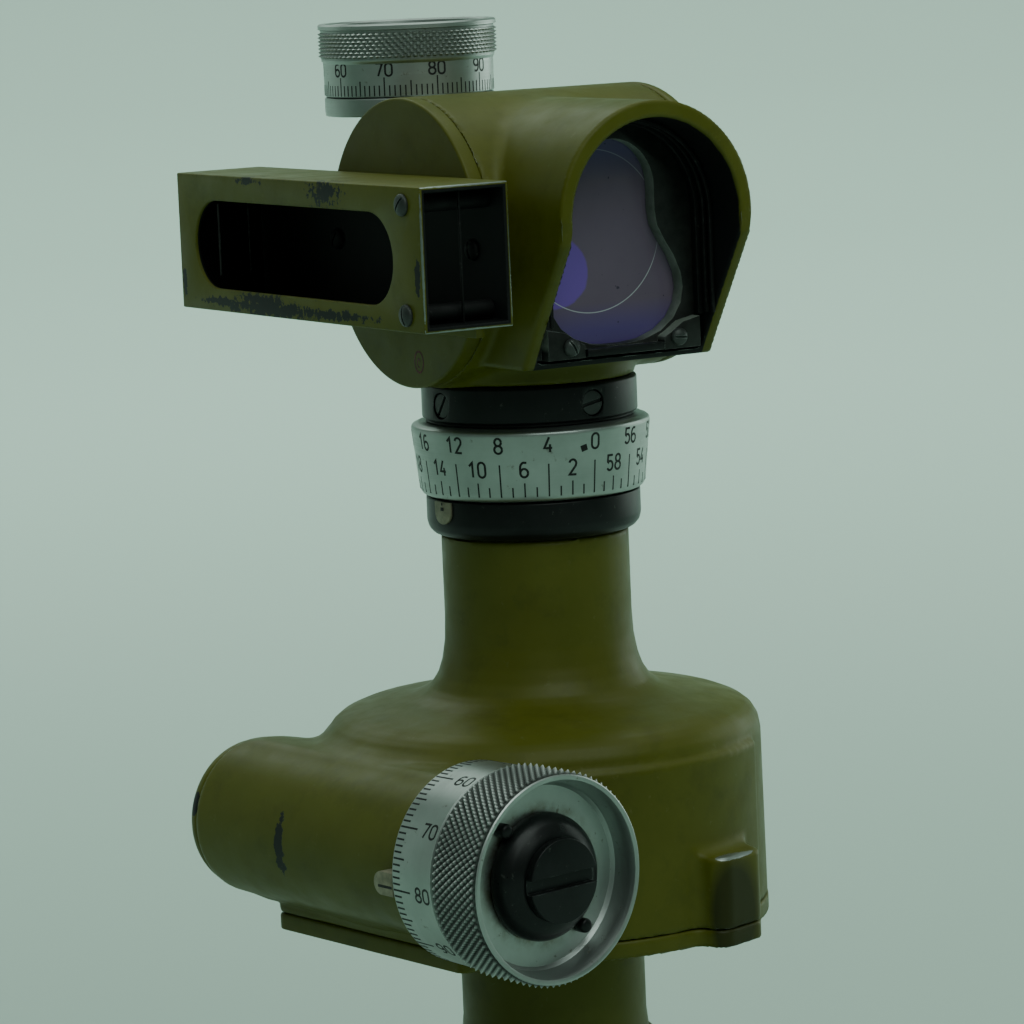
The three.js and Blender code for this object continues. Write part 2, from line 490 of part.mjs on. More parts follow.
// ---------------------------------------------------------------- reflector prism and its worm
const prismTriangle = polygon([[12, -12], [12, 12], [-12, -12]]);
piece(head, 'head_prism', extrudeW(prismTriangle, -11, 11), GLASS, (m) => m.position.set(0, 0, SIGHT_Z));
const cheek = polygon([[13, -13], [13, 9], [8, 13.5], [-2, 13.5], [-13.5, 2], [-13.5, -13]]);
const carrier = cut(union(
  extrudeW(cheek, 11.3, 13.3), extrudeW(cheek, -13.3, -11.3),
  extrudeW(polygon([[8.6, 12.6], [6.6, 13.5], [-2, 13.5], [-13.5, 2], [-13.5, -9], [-12.9, -9]]),
    -11.5, 11.5),
  alongW(rod(4, 13, 21.8, 24)), alongW(rod(4, -23.8, -13, 24)),
), block(-16, -12, REAR_Y - 1.9, REAR_Y + 1.9, -14, 14));
piece(head, 'prism_carrier', carrier, BLACK, (m) => m.position.set(0, 0, SIGHT_Z));

const sectorArm = (() => {
  const teeth = wheelShape(TILT_R, TILT_TEETH, 1.0, 0.35, 8, rad(1.5));
  const wedge = polygon([[-12.3, 3.2], [-30, 7], [-40, 11.5], [-40, -11.5], [-30, -7], [-12.3, -3.2]]);
  return solid(extrudeW(teeth, -1.6, 1.6, 24)).intersect(solid(extrudeW(wedge, -1.6, 1.6)));
})();
piece(head, 'tilt_sector', sectorArm, BRASS, (m) => m.position.set(0, REAR_Y, SIGHT_Z));

const tiltPitch = (2 * Math.PI * TILT_R) / TILT_TEETH;
const tiltWorm = wormBar({
  before: [[0, -14.5], [2.9, -14.5], [2.9, -9], [3.3, -9]],
  after: [[3.3, 9], [3.3, 13.2], [3.2, 13.2], [3.2, 34.9], [0, 34.9]],
}, -2.5 * tiltPitch, 5, tiltPitch, 3.5, 4.9, 0, 12, 4);
piece(head, 'tilt_worm', tiltWorm, STEEL, (m) => m.position.set(REAR_U, REAR_Y, SIGHT_Z));
piece(head, 'reflector_index_ring', turned([[3.4, 227.3], [16.1, 227.3], [16.1, 230.8], [3.4, 230.8]]),
  STEEL, overWormAxis);
piece(head, 'reflector_drum', turned([[3.3, 231], [16.1, 231], [16.1, 237.3], [16.9, 237.6],
  [17.0, 237.9], [17.0, 244.2], [16.6, 244.6], [15.4, 244.6], [14.8, 240.6], [3.3, 240.6]], FINE), STEEL,
overWormAxis);
piece(head, 'reflector_drum_nut', cut(turned([[3.3, 240.7], [7.2, 240.7], [7.2, 242.5], [6.4, 243.3],
  [3.3, 243.3]], 24), block(-8, 8, -0.7, 0.7, 242.4, 245)), BLACK, overWormAxis);

export default prismTelescope;
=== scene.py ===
"""Looks of the panoramic prism telescope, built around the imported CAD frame.

Shapes are written in millimetres in a few local frames and scaled to metres when a mesh is made.
"""
import math

import bmesh
import bpy
import numpy as np
from mathutils import Matrix, Vector


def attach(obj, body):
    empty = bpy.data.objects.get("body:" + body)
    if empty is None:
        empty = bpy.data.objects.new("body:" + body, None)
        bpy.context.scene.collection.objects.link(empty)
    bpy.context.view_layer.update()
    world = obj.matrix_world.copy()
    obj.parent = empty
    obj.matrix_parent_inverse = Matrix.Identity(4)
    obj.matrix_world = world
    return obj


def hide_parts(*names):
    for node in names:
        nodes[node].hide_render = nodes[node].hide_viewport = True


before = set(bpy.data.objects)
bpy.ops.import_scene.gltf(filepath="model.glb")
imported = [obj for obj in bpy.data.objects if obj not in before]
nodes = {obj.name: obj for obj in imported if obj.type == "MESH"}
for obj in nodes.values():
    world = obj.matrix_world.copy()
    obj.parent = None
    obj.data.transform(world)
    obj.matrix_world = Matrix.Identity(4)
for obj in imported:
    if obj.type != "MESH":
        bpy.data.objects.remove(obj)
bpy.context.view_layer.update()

MM = 0.001

# ------------------------------------------------------------------ driving dimensions, mm
EYE_Z = 28.0                # eyepiece axis
SIGHT_Z = 206.0             # axis of the head's window and barrel
HEAD_TURN = -7.2            # azimuth of the head's front, degrees
BASE_Z, SEAM_Z, SHOULDER_Z = 78.7, 82.0, 113.0
WALL_R, PAD_R, NECK_R, BORE_R = 40.6, 41.2, 17.3, 13.5
WORM_Y, WORM_Z, WORM_HOUSE_R = -41.0, 99.8, 14.5
POCKET_R, POCKET_X = 19.35, 28.05       # room cut into the housing for the azimuth drum
HEAD_R = 26.2
HEAD_Y = (-22.35, 24.45)    # side faces of the head casting
REAR_U, REAR_Y = -40.3, 1.25            # axis of the reflector drum in the head's frame
ARCH_HALF, ARCH_SPRING, ARCH_FOOT = 20.0, 211.0, 184.3
HOOD_BORE = 17.6
BOX_U, BOX_W, BOX_Z = (-47.95, 40.2), (27.7, 45.45), (193.65, 218.75)
BOX_WINDOW = (-41.6, 30.2, 197.8, 214.0)
DRUM_KNURL_R = 18.9
DRUM_TURN = 276.3           # angle of the azimuth drum's 80 mark
DIAL_R, DIAL_TURN = 16.1, -47.4         # reflector drum's scale, angle of its 70 mark
RING_R = 21.4               # mean radius of the azimuth scale
MARKS, MARK_STEP = 100, 3.6             # marks round each drum, degrees between them
CLAMP_SCREW_Z = 176.1
INDEX_TAB_Z = 98.3
PLATE_TURN = -95.4          # azimuth of the fixed index plate
FOOT_U = 32.9               # front face of the window frame's feet

rad = math.radians

# ------------------------------------------------------------------ local frames, metres
ROW = Matrix.Identity(4)
HEAD = Matrix.Rotation(rad(HEAD_TURN), 4, "Z")
EYEPIECE = Matrix.Translation((0, 0, EYE_Z * MM)) @ Matrix.Rotation(rad(90), 4, "X")
WORM = Matrix.Translation((0, WORM_Y * MM, WORM_Z * MM)) @ Matrix.Rotation(rad(90), 4, "Y")
SIDE = HEAD @ Matrix.Translation((0, 0, SIGHT_Z * MM)) @ Matrix.Rotation(rad(90), 4, "X")
REAR = HEAD @ Matrix.Translation((REAR_U * MM, REAR_Y * MM, 0))


def at(base, x=0.0, y=0.0, z=0.0, turn=(0, 0, 0)):
    """A frame moved by x, y, z millimetres and turned by X, Y, Z degrees inside base."""
    place = Matrix.Translation((x * MM, y * MM, z * MM))
    for angle, axis in zip(turn, "XYZ"):
        place = place @ Matrix.Rotation(rad(angle), 4, axis)
    return base @ place


# ------------------------------------------------------------------ camera, floor and light
LIGHT_COLOUR = (0.86, 1.0, 0.92)


def aim(obj, place, target, roll=0.0):
    direction = Vector(target) - Vector(place)
    turn = direction.to_track_quat("-Z", "Y").to_matrix().to_4x4()
    obj.matrix_world = Matrix.Translation(place) @ turn @ Matrix.Rotation(rad(roll), 4, "Z")


def add_camera():
    data = bpy.data.cameras.new("camera")
    data.sensor_width = 36.0
    data.lens = 157.66
    data.clip_start = 0.01
    camera = bpy.data.objects.new("camera", data)
    bpy.context.scene.collection.objects.link(camera)
    aim(camera, (0.63534, -0.51817, 0.26654), (-0.00256, -0.00317, 0.15464), -2.436)
    bpy.context.scene.camera = camera


def area_light(name, place, target, size, power, spread=180):
    data = bpy.data.lights.new(name, "AREA")
    data.spread = rad(spread)
    data.shape = "RECTANGLE"
    data.size, data.size_y = size
    data.energy = power
    data.color = LIGHT_COLOUR
    light = bpy.data.objects.new(name, data)
    bpy.context.scene.collection.objects.link(light)
    aim(light, place, target)


def add_lights():
    """Large soft boxes; the back one stands beyond the floor's curve and lights only the backdrop."""
    away, across = Vector((-0.778, 0.628, 0)), Vector((0.628, 0.778, 0))
    middle = (0, 0, 0.15)
    back = away * 1.8 + Vector((0, 0, 2.3))
    left = across * -1.2 + away * 0.6 + Vector((0, 0, 0.4))
    area_light("back_softbox", back, away * 2.0, (2.6, 1.6), 27.5, 95)
    area_light("top_softbox", (0, 0, 1.35), middle, (1.6, 1.6), 6)
    area_light("front_softbox", (1.15, -0.25, 1.45), middle, (1.3, 1.3), 10.5)
    area_light("right_softbox", (0.1, 1.35, 0.45), middle, (1.0, 0.9), 4.0)
    area_light("left_softbox", left, middle, (1.1, 1.1), 0.95)
    area_light("high_left_softbox", (-1.25, 0.35, 1.1), (0, 0, 0.12), (0.8, 0.8), 2.3)


def add_stage():
    """A pale floor that curves up into a backdrop on the side away from the camera."""
    profile = [(1.9, 0.0), (2.3, 0.03), (2.6, 0.12), (2.85, 0.3), (3.0, 0.6), (3.05, 1.0), (3.05, 2.8)]
    mesh = bpy.data.meshes.new("floor")
    steps, backdrop = 96, rad(141)
    points = []
    for r, z in profile:
        for k in range(steps):
            turn = 2 * math.pi * k / steps
            lift = z * max(0.0, min(1.0, 0.75 + 1.5 * math.cos(turn - backdrop)))
            points.append((r * math.cos(turn), r * math.sin(turn), lift))
    faces = [tuple(range(steps))]
    for ring in range(len(profile) - 1):
        for k in range(steps):
            a, b = ring * steps + k, ring * steps + (k + 1) % steps
            faces.append((a, a + steps, b + steps, b))
    mesh.from_pydata(points, [], faces)
    mesh.shade_smooth()
    floor = bpy.data.objects.new("floor", mesh)
    bpy.context.scene.collection.objects.link(floor)
    look = Look("floor_paper", None, (0.425, 0.57, 0.5), roughness=0.9)
    mesh.materials.append(look.material)
    floor.location.z = -0.0002


def add_world():
    world = bpy.data.worlds.new("studio")
    bpy.context.scene.world = world
    world.use_nodes = True
    world.node_tree.nodes["Background"].inputs[0].default_value = (0.60, 0.75, 0.67, 1)
    world.node_tree.nodes["Background"].inputs[1].default_value = 0.17


# ------------------------------------------------------------------ materials
class Look:
    """One Principled material, its slot, and short calls for the nodes that feed it."""

    def __init__(self, name, slot, colour, metallic=0.0, roughness=0.5, **sockets):
        self.slot = slot
        self.material = bpy.data.materials.new(name)
        self.material.use_nodes = True
        self.tree = self.material.node_tree
        self.bsdf = self.tree.nodes["Principled BSDF"]
        self.set("Base Color", (*colour, 1))
        self.set("Metallic", metallic)
        self.set("Roughness", roughness)
        for key, value in sockets.items():
            self.set(key.replace("_", " ").title().replace("Ior", "IOR"), value)
        self.coordinates = self.node("TexCoord").outputs["Object"]

    def set(self, socket, value):
        self.bsdf.inputs[socket].default_value = value

    def node(self, kind, **settings):
        made = self.tree.nodes.new("ShaderNode" + kind)
        for key, value in settings.items():
            setattr(made, key, value)
        return made

    def link(self, source, target):
        self.tree.links.new(source, target)

    def feed(self, socket, value):
        self.link(value, self.bsdf.inputs[socket])

    def into(self, target, value):
        if isinstance(value, (int, float)):
            target.default_value = value
        elif isinstance(value, tuple):
            target.default_value = (*value, 1)[:len(target.default_value)]
        else:
            self.link(value, target)

    def math(self, operation, a, b=0.0):
        made = self.node("Math", operation=operation)
        self.into(made.inputs[0], a)
        self.into(made.inputs[1], b)
        return made.outputs[0]

    def times(self, first, *others):
        for other in others:
            first = self.math("MULTIPLY", first, other)
        return first

    def reach(self, a, b):
        """Length of the vector with these two parts."""
        return self.math("SQRT", self.math("ADD", self.times(a, a), self.times(b, b)))

    def noise(self, scale, detail=4.0, rough=0.55, stretch=(1, 1, 1), offset=0.0):
        place = self.node("Mapping")
        self.link(self.coordinates, place.inputs["Vector"])
        place.inputs["Scale"].default_value = stretch
        place.inputs["Location"].default_value = (offset, offset * 0.7, offset * 1.3)
        made = self.node("TexNoise")
        self.link(place.outputs[0], made.inputs["Vector"])
        made.inputs["Scale"].default_value = scale
        made.inputs["Detail"].default_value = detail
        made.inputs["Roughness"].default_value = rough
        return made.outputs["Fac"]

    def spread(self, value, low, high, to_low=0.0, to_high=1.0):
        made = self.node("MapRange", clamp=True)
        self.into(made.inputs["Value"], value)
        for key, number in zip(("From Min", "From Max", "To Min", "To Max"),
                               (low, high, to_low, to_high)):
            made.inputs[key].default_value = number
        return made.outputs["Result"]

    def cloud(self, scale, detail, rough, *limits, offset=0.0):
        """Noise spread between limits: from low, from high and, if not 0 and 1, to low, to high."""
        return self.spread(self.noise(scale, detail, rough, offset=offset), *limits)

    def mix(self, factor, a, b):
        made = self.node("Mix", data_type="RGBA")
        self.into(made.inputs[0], factor)
        self.into(made.inputs[6], a)
        self.into(made.inputs[7], b)
        return made.outputs[2]

    def blend(self, factor, a, b):
        made = self.node("Mix", data_type="FLOAT")
        self.into(made.inputs[0], factor)
        self.into(made.inputs[2], a)
        self.into(made.inputs[3], b)
        return made.outputs[0]

    def bump(self, height, strength, distance):
        made = self.node("Bump")
        self.link(height, made.inputs["Height"])
        made.inputs["Strength"].default_value = strength
        made.inputs["Distance"].default_value = distance
        self.feed("Normal", made.outputs[0])

    def edges(self, radius_mm, low, high):
        """1 near edges, where the normal averaged over radius_mm turns away from the surface's own."""
        bevel = self.node("Bevel", samples=6)
        bevel.inputs["Radius"].default_value = radius_mm * MM
        normal = self.node("NewGeometry").outputs["Normal"]
        dot = self.node("VectorMath", operation="DOT_PRODUCT")
        self.link(bevel.outputs[0], dot.inputs[0])
        self.link(normal, dot.inputs[1])
        return self.spread(self.math("SUBTRACT", 1.0, dot.outputs["Value"]), low, high)

    def axes(self):
        split = self.node("SeparateXYZ")
        self.link(self.coordinates, split.inputs[0])
        return split.outputs

    def patch(self, centre, radii, jitter, scale, offset=0.0, soft=0.06):
        """1 inside a ragged ellipsoid, places in millimetres of the piece's own frame."""
        place = self.node("Mapping", vector_type="TEXTURE")
        self.link(self.coordinates, place.inputs["Vector"])
        place.inputs["Location"].default_value = [c * MM for c in centre]
        place.inputs["Scale"].default_value = [r * MM for r in radii]
        length = self.node("VectorMath", operation="LENGTH")
        self.link(place.outputs[0], length.inputs[0])
        rag = self.times(self.math("SUBTRACT", self.noise(scale, 5, 0.65, offset=offset), 0.5),
                        jitter)
        return self.spread(self.math("ADD", self.math("SUBTRACT", 1.0, length.outputs["Value"]), rag),
                           0.0, soft)

    def most(self, *values):
        found = values[0]
        for value in values[1:]:
            found = self.math("MAXIMUM", found, value)
        return found


OLIVE = (0.086, 0.091, 0.0075)
OLIVE_PALE = (0.113, 0.118, 0.014)
BARE = (0.30, 0.34, 0.32)
PRIMER = (0.018, 0.021, 0.020)
BLACK = (0.0065, 0.0075, 0.0075)


def olive_paint(name, chips=(), bare=(), shade_patches=(), inside=None, wear=0.5):
    """Semi-gloss olive enamel: chips show dark primer, rubbed edges show bare metal, the ellipsoids listed
    after bare are painted shade that darkens the paint where it lies in shadow, and inside gives 1 where the
    surface is painted black."""
    look = Look(name, "olive_paint", OLIVE, roughness=0.4, specular_ior_level=0.2)
    tone = look.cloud(38, 5, 0.6, 0.35, 0.7)
    colour = look.mix(tone, OLIVE, OLIVE_PALE)
    dust = look.times(look.cloud(620, 3, 0.6, 0.66, 0.76), 0.35)
    colour = look.mix(dust, colour, (0.16, 0.165, 0.06))
    grime = look.times(look.cloud(110, 6, 0.7, 0.52, 0.75, offset=3), 0.45)
    colour = look.mix(grime, colour, (0.045, 0.050, 0.006))
    # painted shade: each ellipsoid darkens the paint where it lies in shadow
    for centre, radii in shade_patches:
        reach = look.patch(centre, radii, 0.15, 90, 4.0, 0.35)
        colour = look.mix(look.times(reach, 0.8), colour, (0.014, 0.016, 0.005))
    rough = look.cloud(160, 4, 0.6, 0.3, 0.75, 0.36, 0.52)
    if inside is not None:
        dark = inside(look)
        colour = look.mix(dark, colour, BLACK)
        rough = look.blend(dark, rough, 0.62)
    breakup = look.noise(900, 6, 0.7, offset=1)
    chip = look.times(look.edges(0.9, 0.02, 0.12),
                      look.spread(breakup, 0.66 - 0.16 * wear, 0.70 - 0.16 * wear))
    chip = look.most(chip, *[look.patch(*spot) for spot in chips])
    rub = look.times(look.edges(0.28, 0.05, 0.3),
                     look.cloud(260, 5, 0.6, 0.57 - 0.14 * wear, 0.64 - 0.14 * wear, offset=2))
    rub = look.most(rub, *[look.patch(*spot) for spot in bare])
    colour = look.mix(chip, colour, PRIMER)
    colour = look.mix(rub, colour, BARE)
    rough = look.blend(chip, rough, 0.5)
    look.feed("Base Color", colour)
    look.feed("Roughness", look.blend(rub, rough, 0.36))
    look.feed("Metallic", look.blend(rub, 0.0, 0.9))
    peel = look.times(look.noise(1400, 2, 0.5), 0.4)
    height = look.math("SUBTRACT", peel, look.times(look.most(chip, rub), 1.2))
    look.bump(height, 0.35, 0.00006)
    return look


def satin_metal(name, colour, stain=0.5, knurl=None):
    """Satin chromed or turned metal with faint lathe lines and spots; knurl is the radius, depth, two
    heights and blackness of a grip whose grooves are coloured darker."""
    look = Look(name, "satin_scale_metal", colour, metallic=0.92, roughness=0.4)
    cloud = look.cloud(70, 5, 0.6, 0.3, 0.72)
    darker = tuple(c * 0.72 for c in colour)
    base = look.mix(cloud, darker, colour)
    spots = look.times(look.cloud(520, 4, 0.7, 0.64, 0.72, offset=4), stain)
    base = look.mix(spots, base, (0.10, 0.09, 0.05))
    lines = look.noise(60, 3, 0.5, stretch=(1, 1, 90))
    edge = look.times(look.edges(0.35, 0.04, 0.3), 0.55)
    base = look.mix(edge, base, (0.78, 0.82, 0.8))
    if knurl is not None:
        radius, depth, low, high = (value * MM for value in knurl[:4])
        x, y, z = look.axes()
        reach = look.reach(x, y)
        # the knurl's grooves are coloured darker by the given blackness
        deep = look.times(look.spread(reach, radius - depth * 0.2, radius - depth * 0.9),
                          look.spread(reach, radius - depth * 2, radius - depth * 1.6))
        band = look.times(look.spread(z, low, low + 0.0001), look.spread(z, high, high - 0.0001))
        base = look.mix(look.times(band, look.times(deep, knurl[4])), base, (0.035, 0.04, 0.036))
        near, away, floor, fade = 11.2 * MM, 13.8 * MM, 47.5 * MM, 0.1 * MM    # grease round the collar
        ring = look.times(look.spread(reach, away, near), look.spread(z, floor - fade, floor + fade))
        ring = look.times(ring, look.cloud(260, 5, 0.65, 0.4, 0.62, offset=9))
        base = look.mix(look.times(ring, 0.75), base, (0.13, 0.10, 0.04))
    look.feed("Base Color", base)
    look.feed("Roughness", look.math("ADD", look.spread(lines, 0.3, 0.7, 0.3, 0.46),
                                     look.times(spots, 0.25)))
    look.feed("Metallic", look.blend(spots, 0.92, 0.35))
    look.bump(lines, 0.12, 0.00003)
    return look


def black_metal(name, rough=(0.3, 0.5), wear=0.6, colour=BLACK):
    """Blackened steel, rubbed grey on its edges."""
    look = Look(name, "black_metal", colour, metallic=0.15, roughness=0.4, specular_ior_level=0.3)
    cloud = look.cloud(120, 6, 0.65, 0.3, 0.75)
    base = look.mix(cloud, colour, tuple(c * 2 for c in colour))
    dust = look.times(look.cloud(900, 3, 0.6, 0.66, 0.74, offset=6), 0.3)
    base = look.mix(dust, base, (0.14, 0.15, 0.13))
    rub = look.times(look.edges(0.25, 0.04, 0.28),
                     look.cloud(420, 5, 0.65, 0.6 - 0.2 * wear, 0.7 - 0.2 * wear, offset=5))
    base = look.mix(rub, base, (0.26, 0.29, 0.28))
    look.feed("Base Color", base)
    look.feed("Metallic", look.blend(rub, 0.2, 0.95))
    look.feed("Roughness", look.cloud(210, 4, 0.6, 0.3, 0.75, *rough))
    look.bump(look.noise(1300, 3, 0.5), 0.15, 0.00004)
    return look


def frame_metal(name):
    """Blackened window frame whose opening keeps the bare grey of the metal."""
    look = Look(name, "black_metal", BLACK, metallic=0.3, roughness=0.45)
    up = look.axes()[2]
    tone = look.cloud(260, 5, 0.65, 0.35, 0.7)
    dark = look.mix(tone, (0.006, 0.007, 0.006), (0.022, 0.025, 0.022))
    bare = look.mix(tone, (0.17, 0.205, 0.17), (0.30, 0.34, 0.30))
    flat = look.node("VectorMath", operation="DOT_PRODUCT")
    look.link(look.node("TexCoord").outputs["Normal"], flat.inputs[0])
    flat.inputs[1].default_value = (1, 0, 0)
    wall = look.spread(look.math("ABSOLUTE", flat.outputs["Value"]), 0.75, 0.4)
    wall = look.times(wall, look.spread(up, 0.1874, 0.1886))
    edge = look.times(look.edges(0.3, 0.04, 0.25), look.cloud(420, 5, 0.55, 0.42, 0.56))
    colour = look.mix(wall, dark, bare)
    look.feed("Base Color", look.mix(edge, colour, (0.3, 0.34, 0.32)))
    look.feed("Roughness", look.cloud(210, 4, 0.6, 0.3, 0.75, 0.4, 0.6))
    look.feed("Metallic", look.blend(edge, 0.3, 0.9))
    look.bump(look.noise(1300, 3, 0.5), 0.15, 0.00004)
    return look


def ink(name, colour=(0.006, 0.007, 0.007), slot="black_metal"):
    look = Look(name, slot, colour, roughness=0.6)
    fade = look.cloud(900, 4, 0.7, 0.55, 0.8)
    look.feed("Base Color", look.mix(fade, colour, tuple(c * 5 + 0.02 for c in colour)))
    look.feed("Roughness", look.cloud(300, 4, 0.55, 0.3, 0.7, 0.5, 0.75))
    return look


def brass(name):
    look = Look(name, None, (0.5, 0.33, 0.1), metallic=1.0, roughness=0.35)
    tone = look.cloud(90, 5, 0.6, 0.35, 0.7)
    look.feed("Base Color", look.mix(tone, (0.42, 0.27, 0.08), (0.62, 0.44, 0.16)))
    look.feed("Roughness", look.cloud(400, 4, 0.55, 0.3, 0.7, 0.25, 0.45))
    return look


def cream(name):
    look = Look(name, "cream_lacquer", (0.3, 0.28, 0.19), metallic=0.15, roughness=0.5)
    tone = look.cloud(500, 5, 0.65, 0.35, 0.7)
    look.feed("Base Color", look.mix(tone, (0.19, 0.18, 0.12), (0.36, 0.33, 0.23)))
    look.feed("Roughness", look.cloud(300, 4, 0.55, 0.3, 0.7, 0.42, 0.62))
    look.bump(look.noise(1200, 3), 0.2, 0.00005)
    return look


def glass(name):
    look = Look(name, "optical_glass", (0.92, 0.96, 0.95), roughness=0.02, ior=1.52, transmission_weight=1.0)
    look.feed("Roughness", look.cloud(60, 5, 0.6, 0.4, 0.75, 0.01, 0.06))
    return look


def coated_glass(name):
    """Window plate with a violet coating, its colour partly the coating's own tint and partly painted
    reflection:
    violet stronger to the low left and at the foot, darker across the top, dull grey across the middle,
    and a painted highlight on the thin rim of the round stop behind it."""
    look = Look(name, "coated_glass", (0.09, 0.085, 0.12), roughness=0.08, ior=1.45)
    _, across, up = look.axes()
    # painted reflection of the coating: violet stronger at the foot and to the low left, darker across the
    # top
    low = look.spread(up, 0.1950, 0.1900)
    left = look.patch((29, -10.8, 200.6), (9, 7.0, 6.6), 0.25, 90)
    top = look.times(look.spread(up, 0.2165, 0.2215), 0.6)
    colour = look.mix(look.noise(70, 4, 0.5), (0.140, 0.103, 0.155), (0.210, 0.157, 0.228))
    colour = look.mix(look.times(low, 0.8), colour, (0.110, 0.078, 0.29))
    colour = look.mix(look.times(left, 0.75), colour, (0.22, 0.11, 0.60))
    colour = look.mix(top, colour, (0.10, 0.085, 0.24))
    # painted highlight: a thin bright ring where the round stop's rim catches light behind the pane
    stop_y, stop_z, stop_r = -0.0031, 0.2077, 0.0145
    out = look.reach(look.math("SUBTRACT", across, stop_y), look.math("SUBTRACT", up, stop_z))
    ring = look.math("ABSOLUTE", look.math("SUBTRACT", out, stop_r))
    ring = look.times(look.spread(ring, 0.00011, 0.00004),
                      look.spread(up, 0.2035, 0.1995, 0.3, 0.9))
    colour = look.mix(ring, colour, (0.6, 0.62, 0.66))
    speck = look.cloud(620, 2, 0.5, 0.72, 0.75, offset=7)
    look.feed("Base Color", look.mix(look.times(speck, 0.7), colour, (0.03, 0.028, 0.05)))
    look.feed("Roughness", look.cloud(90, 5, 0.55, 0.35, 0.7, 0.05, 0.16))
    return look


def rubber(name):
    look = Look(name, "black_rubber", (0.012, 0.012, 0.012), roughness=0.8)
    tone = look.cloud(150, 5, 0.6, 0.35, 0.7)
    look.feed("Base Color", look.mix(tone, (0.008, 0.008, 0.008), (0.024, 0.024, 0.023)))
    look.feed("Roughness", look.cloud(500, 4, 0.55, 0.3, 0.7, 0.65, 0.9))
    look.bump(look.noise(1600, 3), 0.35, 0.00008)
    return look


def hood_inside(look):
    """1 inside the hood's arch, in the head's own frame."""
    along, across, up = look.axes()
    rise = look.math("MAXIMUM", look.math("SUBTRACT", up, 0.2105), 0.0)
    bore = look.spread(look.reach(across, rise), 0.01800, 0.01785)
    ragged = look.times(look.math("SUBTRACT", look.noise(300), 0.5), 0.0012)
    front = look.spread(look.math("ADD", along, ragged), 0.0444, 0.0440)
    return look.times(bore, front, look.spread(along, 0.0200, 0.0204))


def box_inside(look):
    """1 on the inner faces of the sight box, in the head's own frame."""
    _, across, up = look.axes()
    skin, fade = 0.4, 0.1       # mm, inside the box's wall of 1 mm
    sides = [(across, -BOX_W[1] + skin, fade), (across, -BOX_W[0] - skin, -fade),
             (up, BOX_Z[0] + skin, fade), (up, BOX_Z[1] - skin, -fade)]
    return look.times(*[look.spread(axis, start * MM, (start + step) * MM) for axis, start, step in sides])


# ------------------------------------------------------------------ mesh making
def finish_mesh(obj, key, body, replaced=(), sharp=38.0):
    """Gives a piece its look, its body and the CAD nodes it stands for; sharp is in degrees."""
    look = looks[key]
    obj.data.materials.clear()
    obj.data.materials.append(look.material)
    obj.data.shade_smooth()
    obj.data.set_sharp_from_angle(angle=rad(sharp))
    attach(obj, body)
    if replaced:
        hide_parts(*([replaced] if isinstance(replaced, str) else replaced))


def mesh_object(name, points, faces, place=ROW):
    """An object from millimetre points and faces, standing in one of the local frames."""
    mesh = bpy.data.meshes.new(name)
    mesh.from_pydata([[c * MM for c in p] for p in points], [], faces)
    mesh.validate()
    obj = bpy.data.objects.new(name, mesh)
    bpy.context.scene.collection.objects.link(obj)
    obj.matrix_world = place
    work = bmesh.new()
    work.from_mesh(mesh)
    bmesh.ops.remove_doubles(work, verts=work.verts, dist=1e-7)
    bmesh.ops.recalc_face_normals(work, faces=work.faces)
    work.to_mesh(mesh)
    work.free()
    return obj


def rounded(points, radius, closed=True, steps=3):
    """The outline with each corner taken back by up to radius along its two sides."""
    count = len(points)
    result = []
    for i, corner in enumerate(points):
        if not closed and i in (0, count - 1):
            result.append(corner)
            continue
        p = np.array(corner, float)
        sides = []
        for other in (points[i - 1], points[(i + 1) % count]):
            arm = np.array(other, float) - p
            length = np.hypot(*arm)
            sides.append(p + arm / length * min(radius, 0.42 * length))
        for k in range(steps + 1):
            t = k / steps
            result.append(tuple((1 - t) ** 2 * sides[0] + 2 * t * (1 - t) * p + t ** 2 * sides[1]))
    return result


def lathe(name, profile, place=ROW, radius=0.22, segments=144):
    """A closed turned solid; the profile runs in [radius, height] and starts and ends on the axis,
    or closes on itself."""
    on_axis = profile[0][0] == 0
    outline = rounded(profile, radius, closed=not on_axis)
    points, rows = [], []
    for r, z in outline:
        if r == 0:
            rows.append([len(points)] * segments)
            points.append((0, 0, z))
            continue
        rows.append(list(range(len(points), len(points) + segments)))
        points += [(r * math.cos(2 * math.pi * k / segments), r * math.sin(2 * math.pi * k / segments), z)
                   for k in range(segments)]
    pairs = list(zip(rows, rows[1:])) + ([] if on_axis else [(rows[-1], rows[0])])
    faces = []
    for low, high in pairs:
        for k in range(segments):
            ring = [low[k], low[(k + 1) % segments], high[(k + 1) % segments], high[k]]
            ring = list(dict.fromkeys(ring))
            if len(ring) > 2:
                faces.append(ring)
    return mesh_object(name, points, faces, place)


def lying(a, b, level):
    return a, b, level


def facing_x(a, b, level):
    return level, a, b


def facing_y(a, b, level):
    return a, -level, b


def prism(name, outline, low, high, place=ROW, lift=lying):
    """A closed outline extruded between two levels; lift turns (a, b, level) into a point."""
    count = len(outline)
    points = [lift(a, b, level) for level in (low, high) for a, b in outline]
    faces = [tuple(range(count)), tuple(range(2 * count - 1, count - 1, -1))]
    faces += [(i, (i + 1) % count, count + (i + 1) % count, count + i) for i in range(count)]
    return mesh_object(name, points, faces, place)


def slab(name, x0, x1, y0, y1, z0, z1, place=ROW):
    points = [(x, y, z) for x in (x0, x1) for y in (y0, y1) for z in (z0, z1)]
    faces = [(0, 1, 3, 2), (4, 6, 7, 5), (0, 4, 5, 1), (2, 3, 7, 6), (0, 2, 6, 4), (1, 5, 7, 3)]
    return mesh_object(name, points, faces, place)


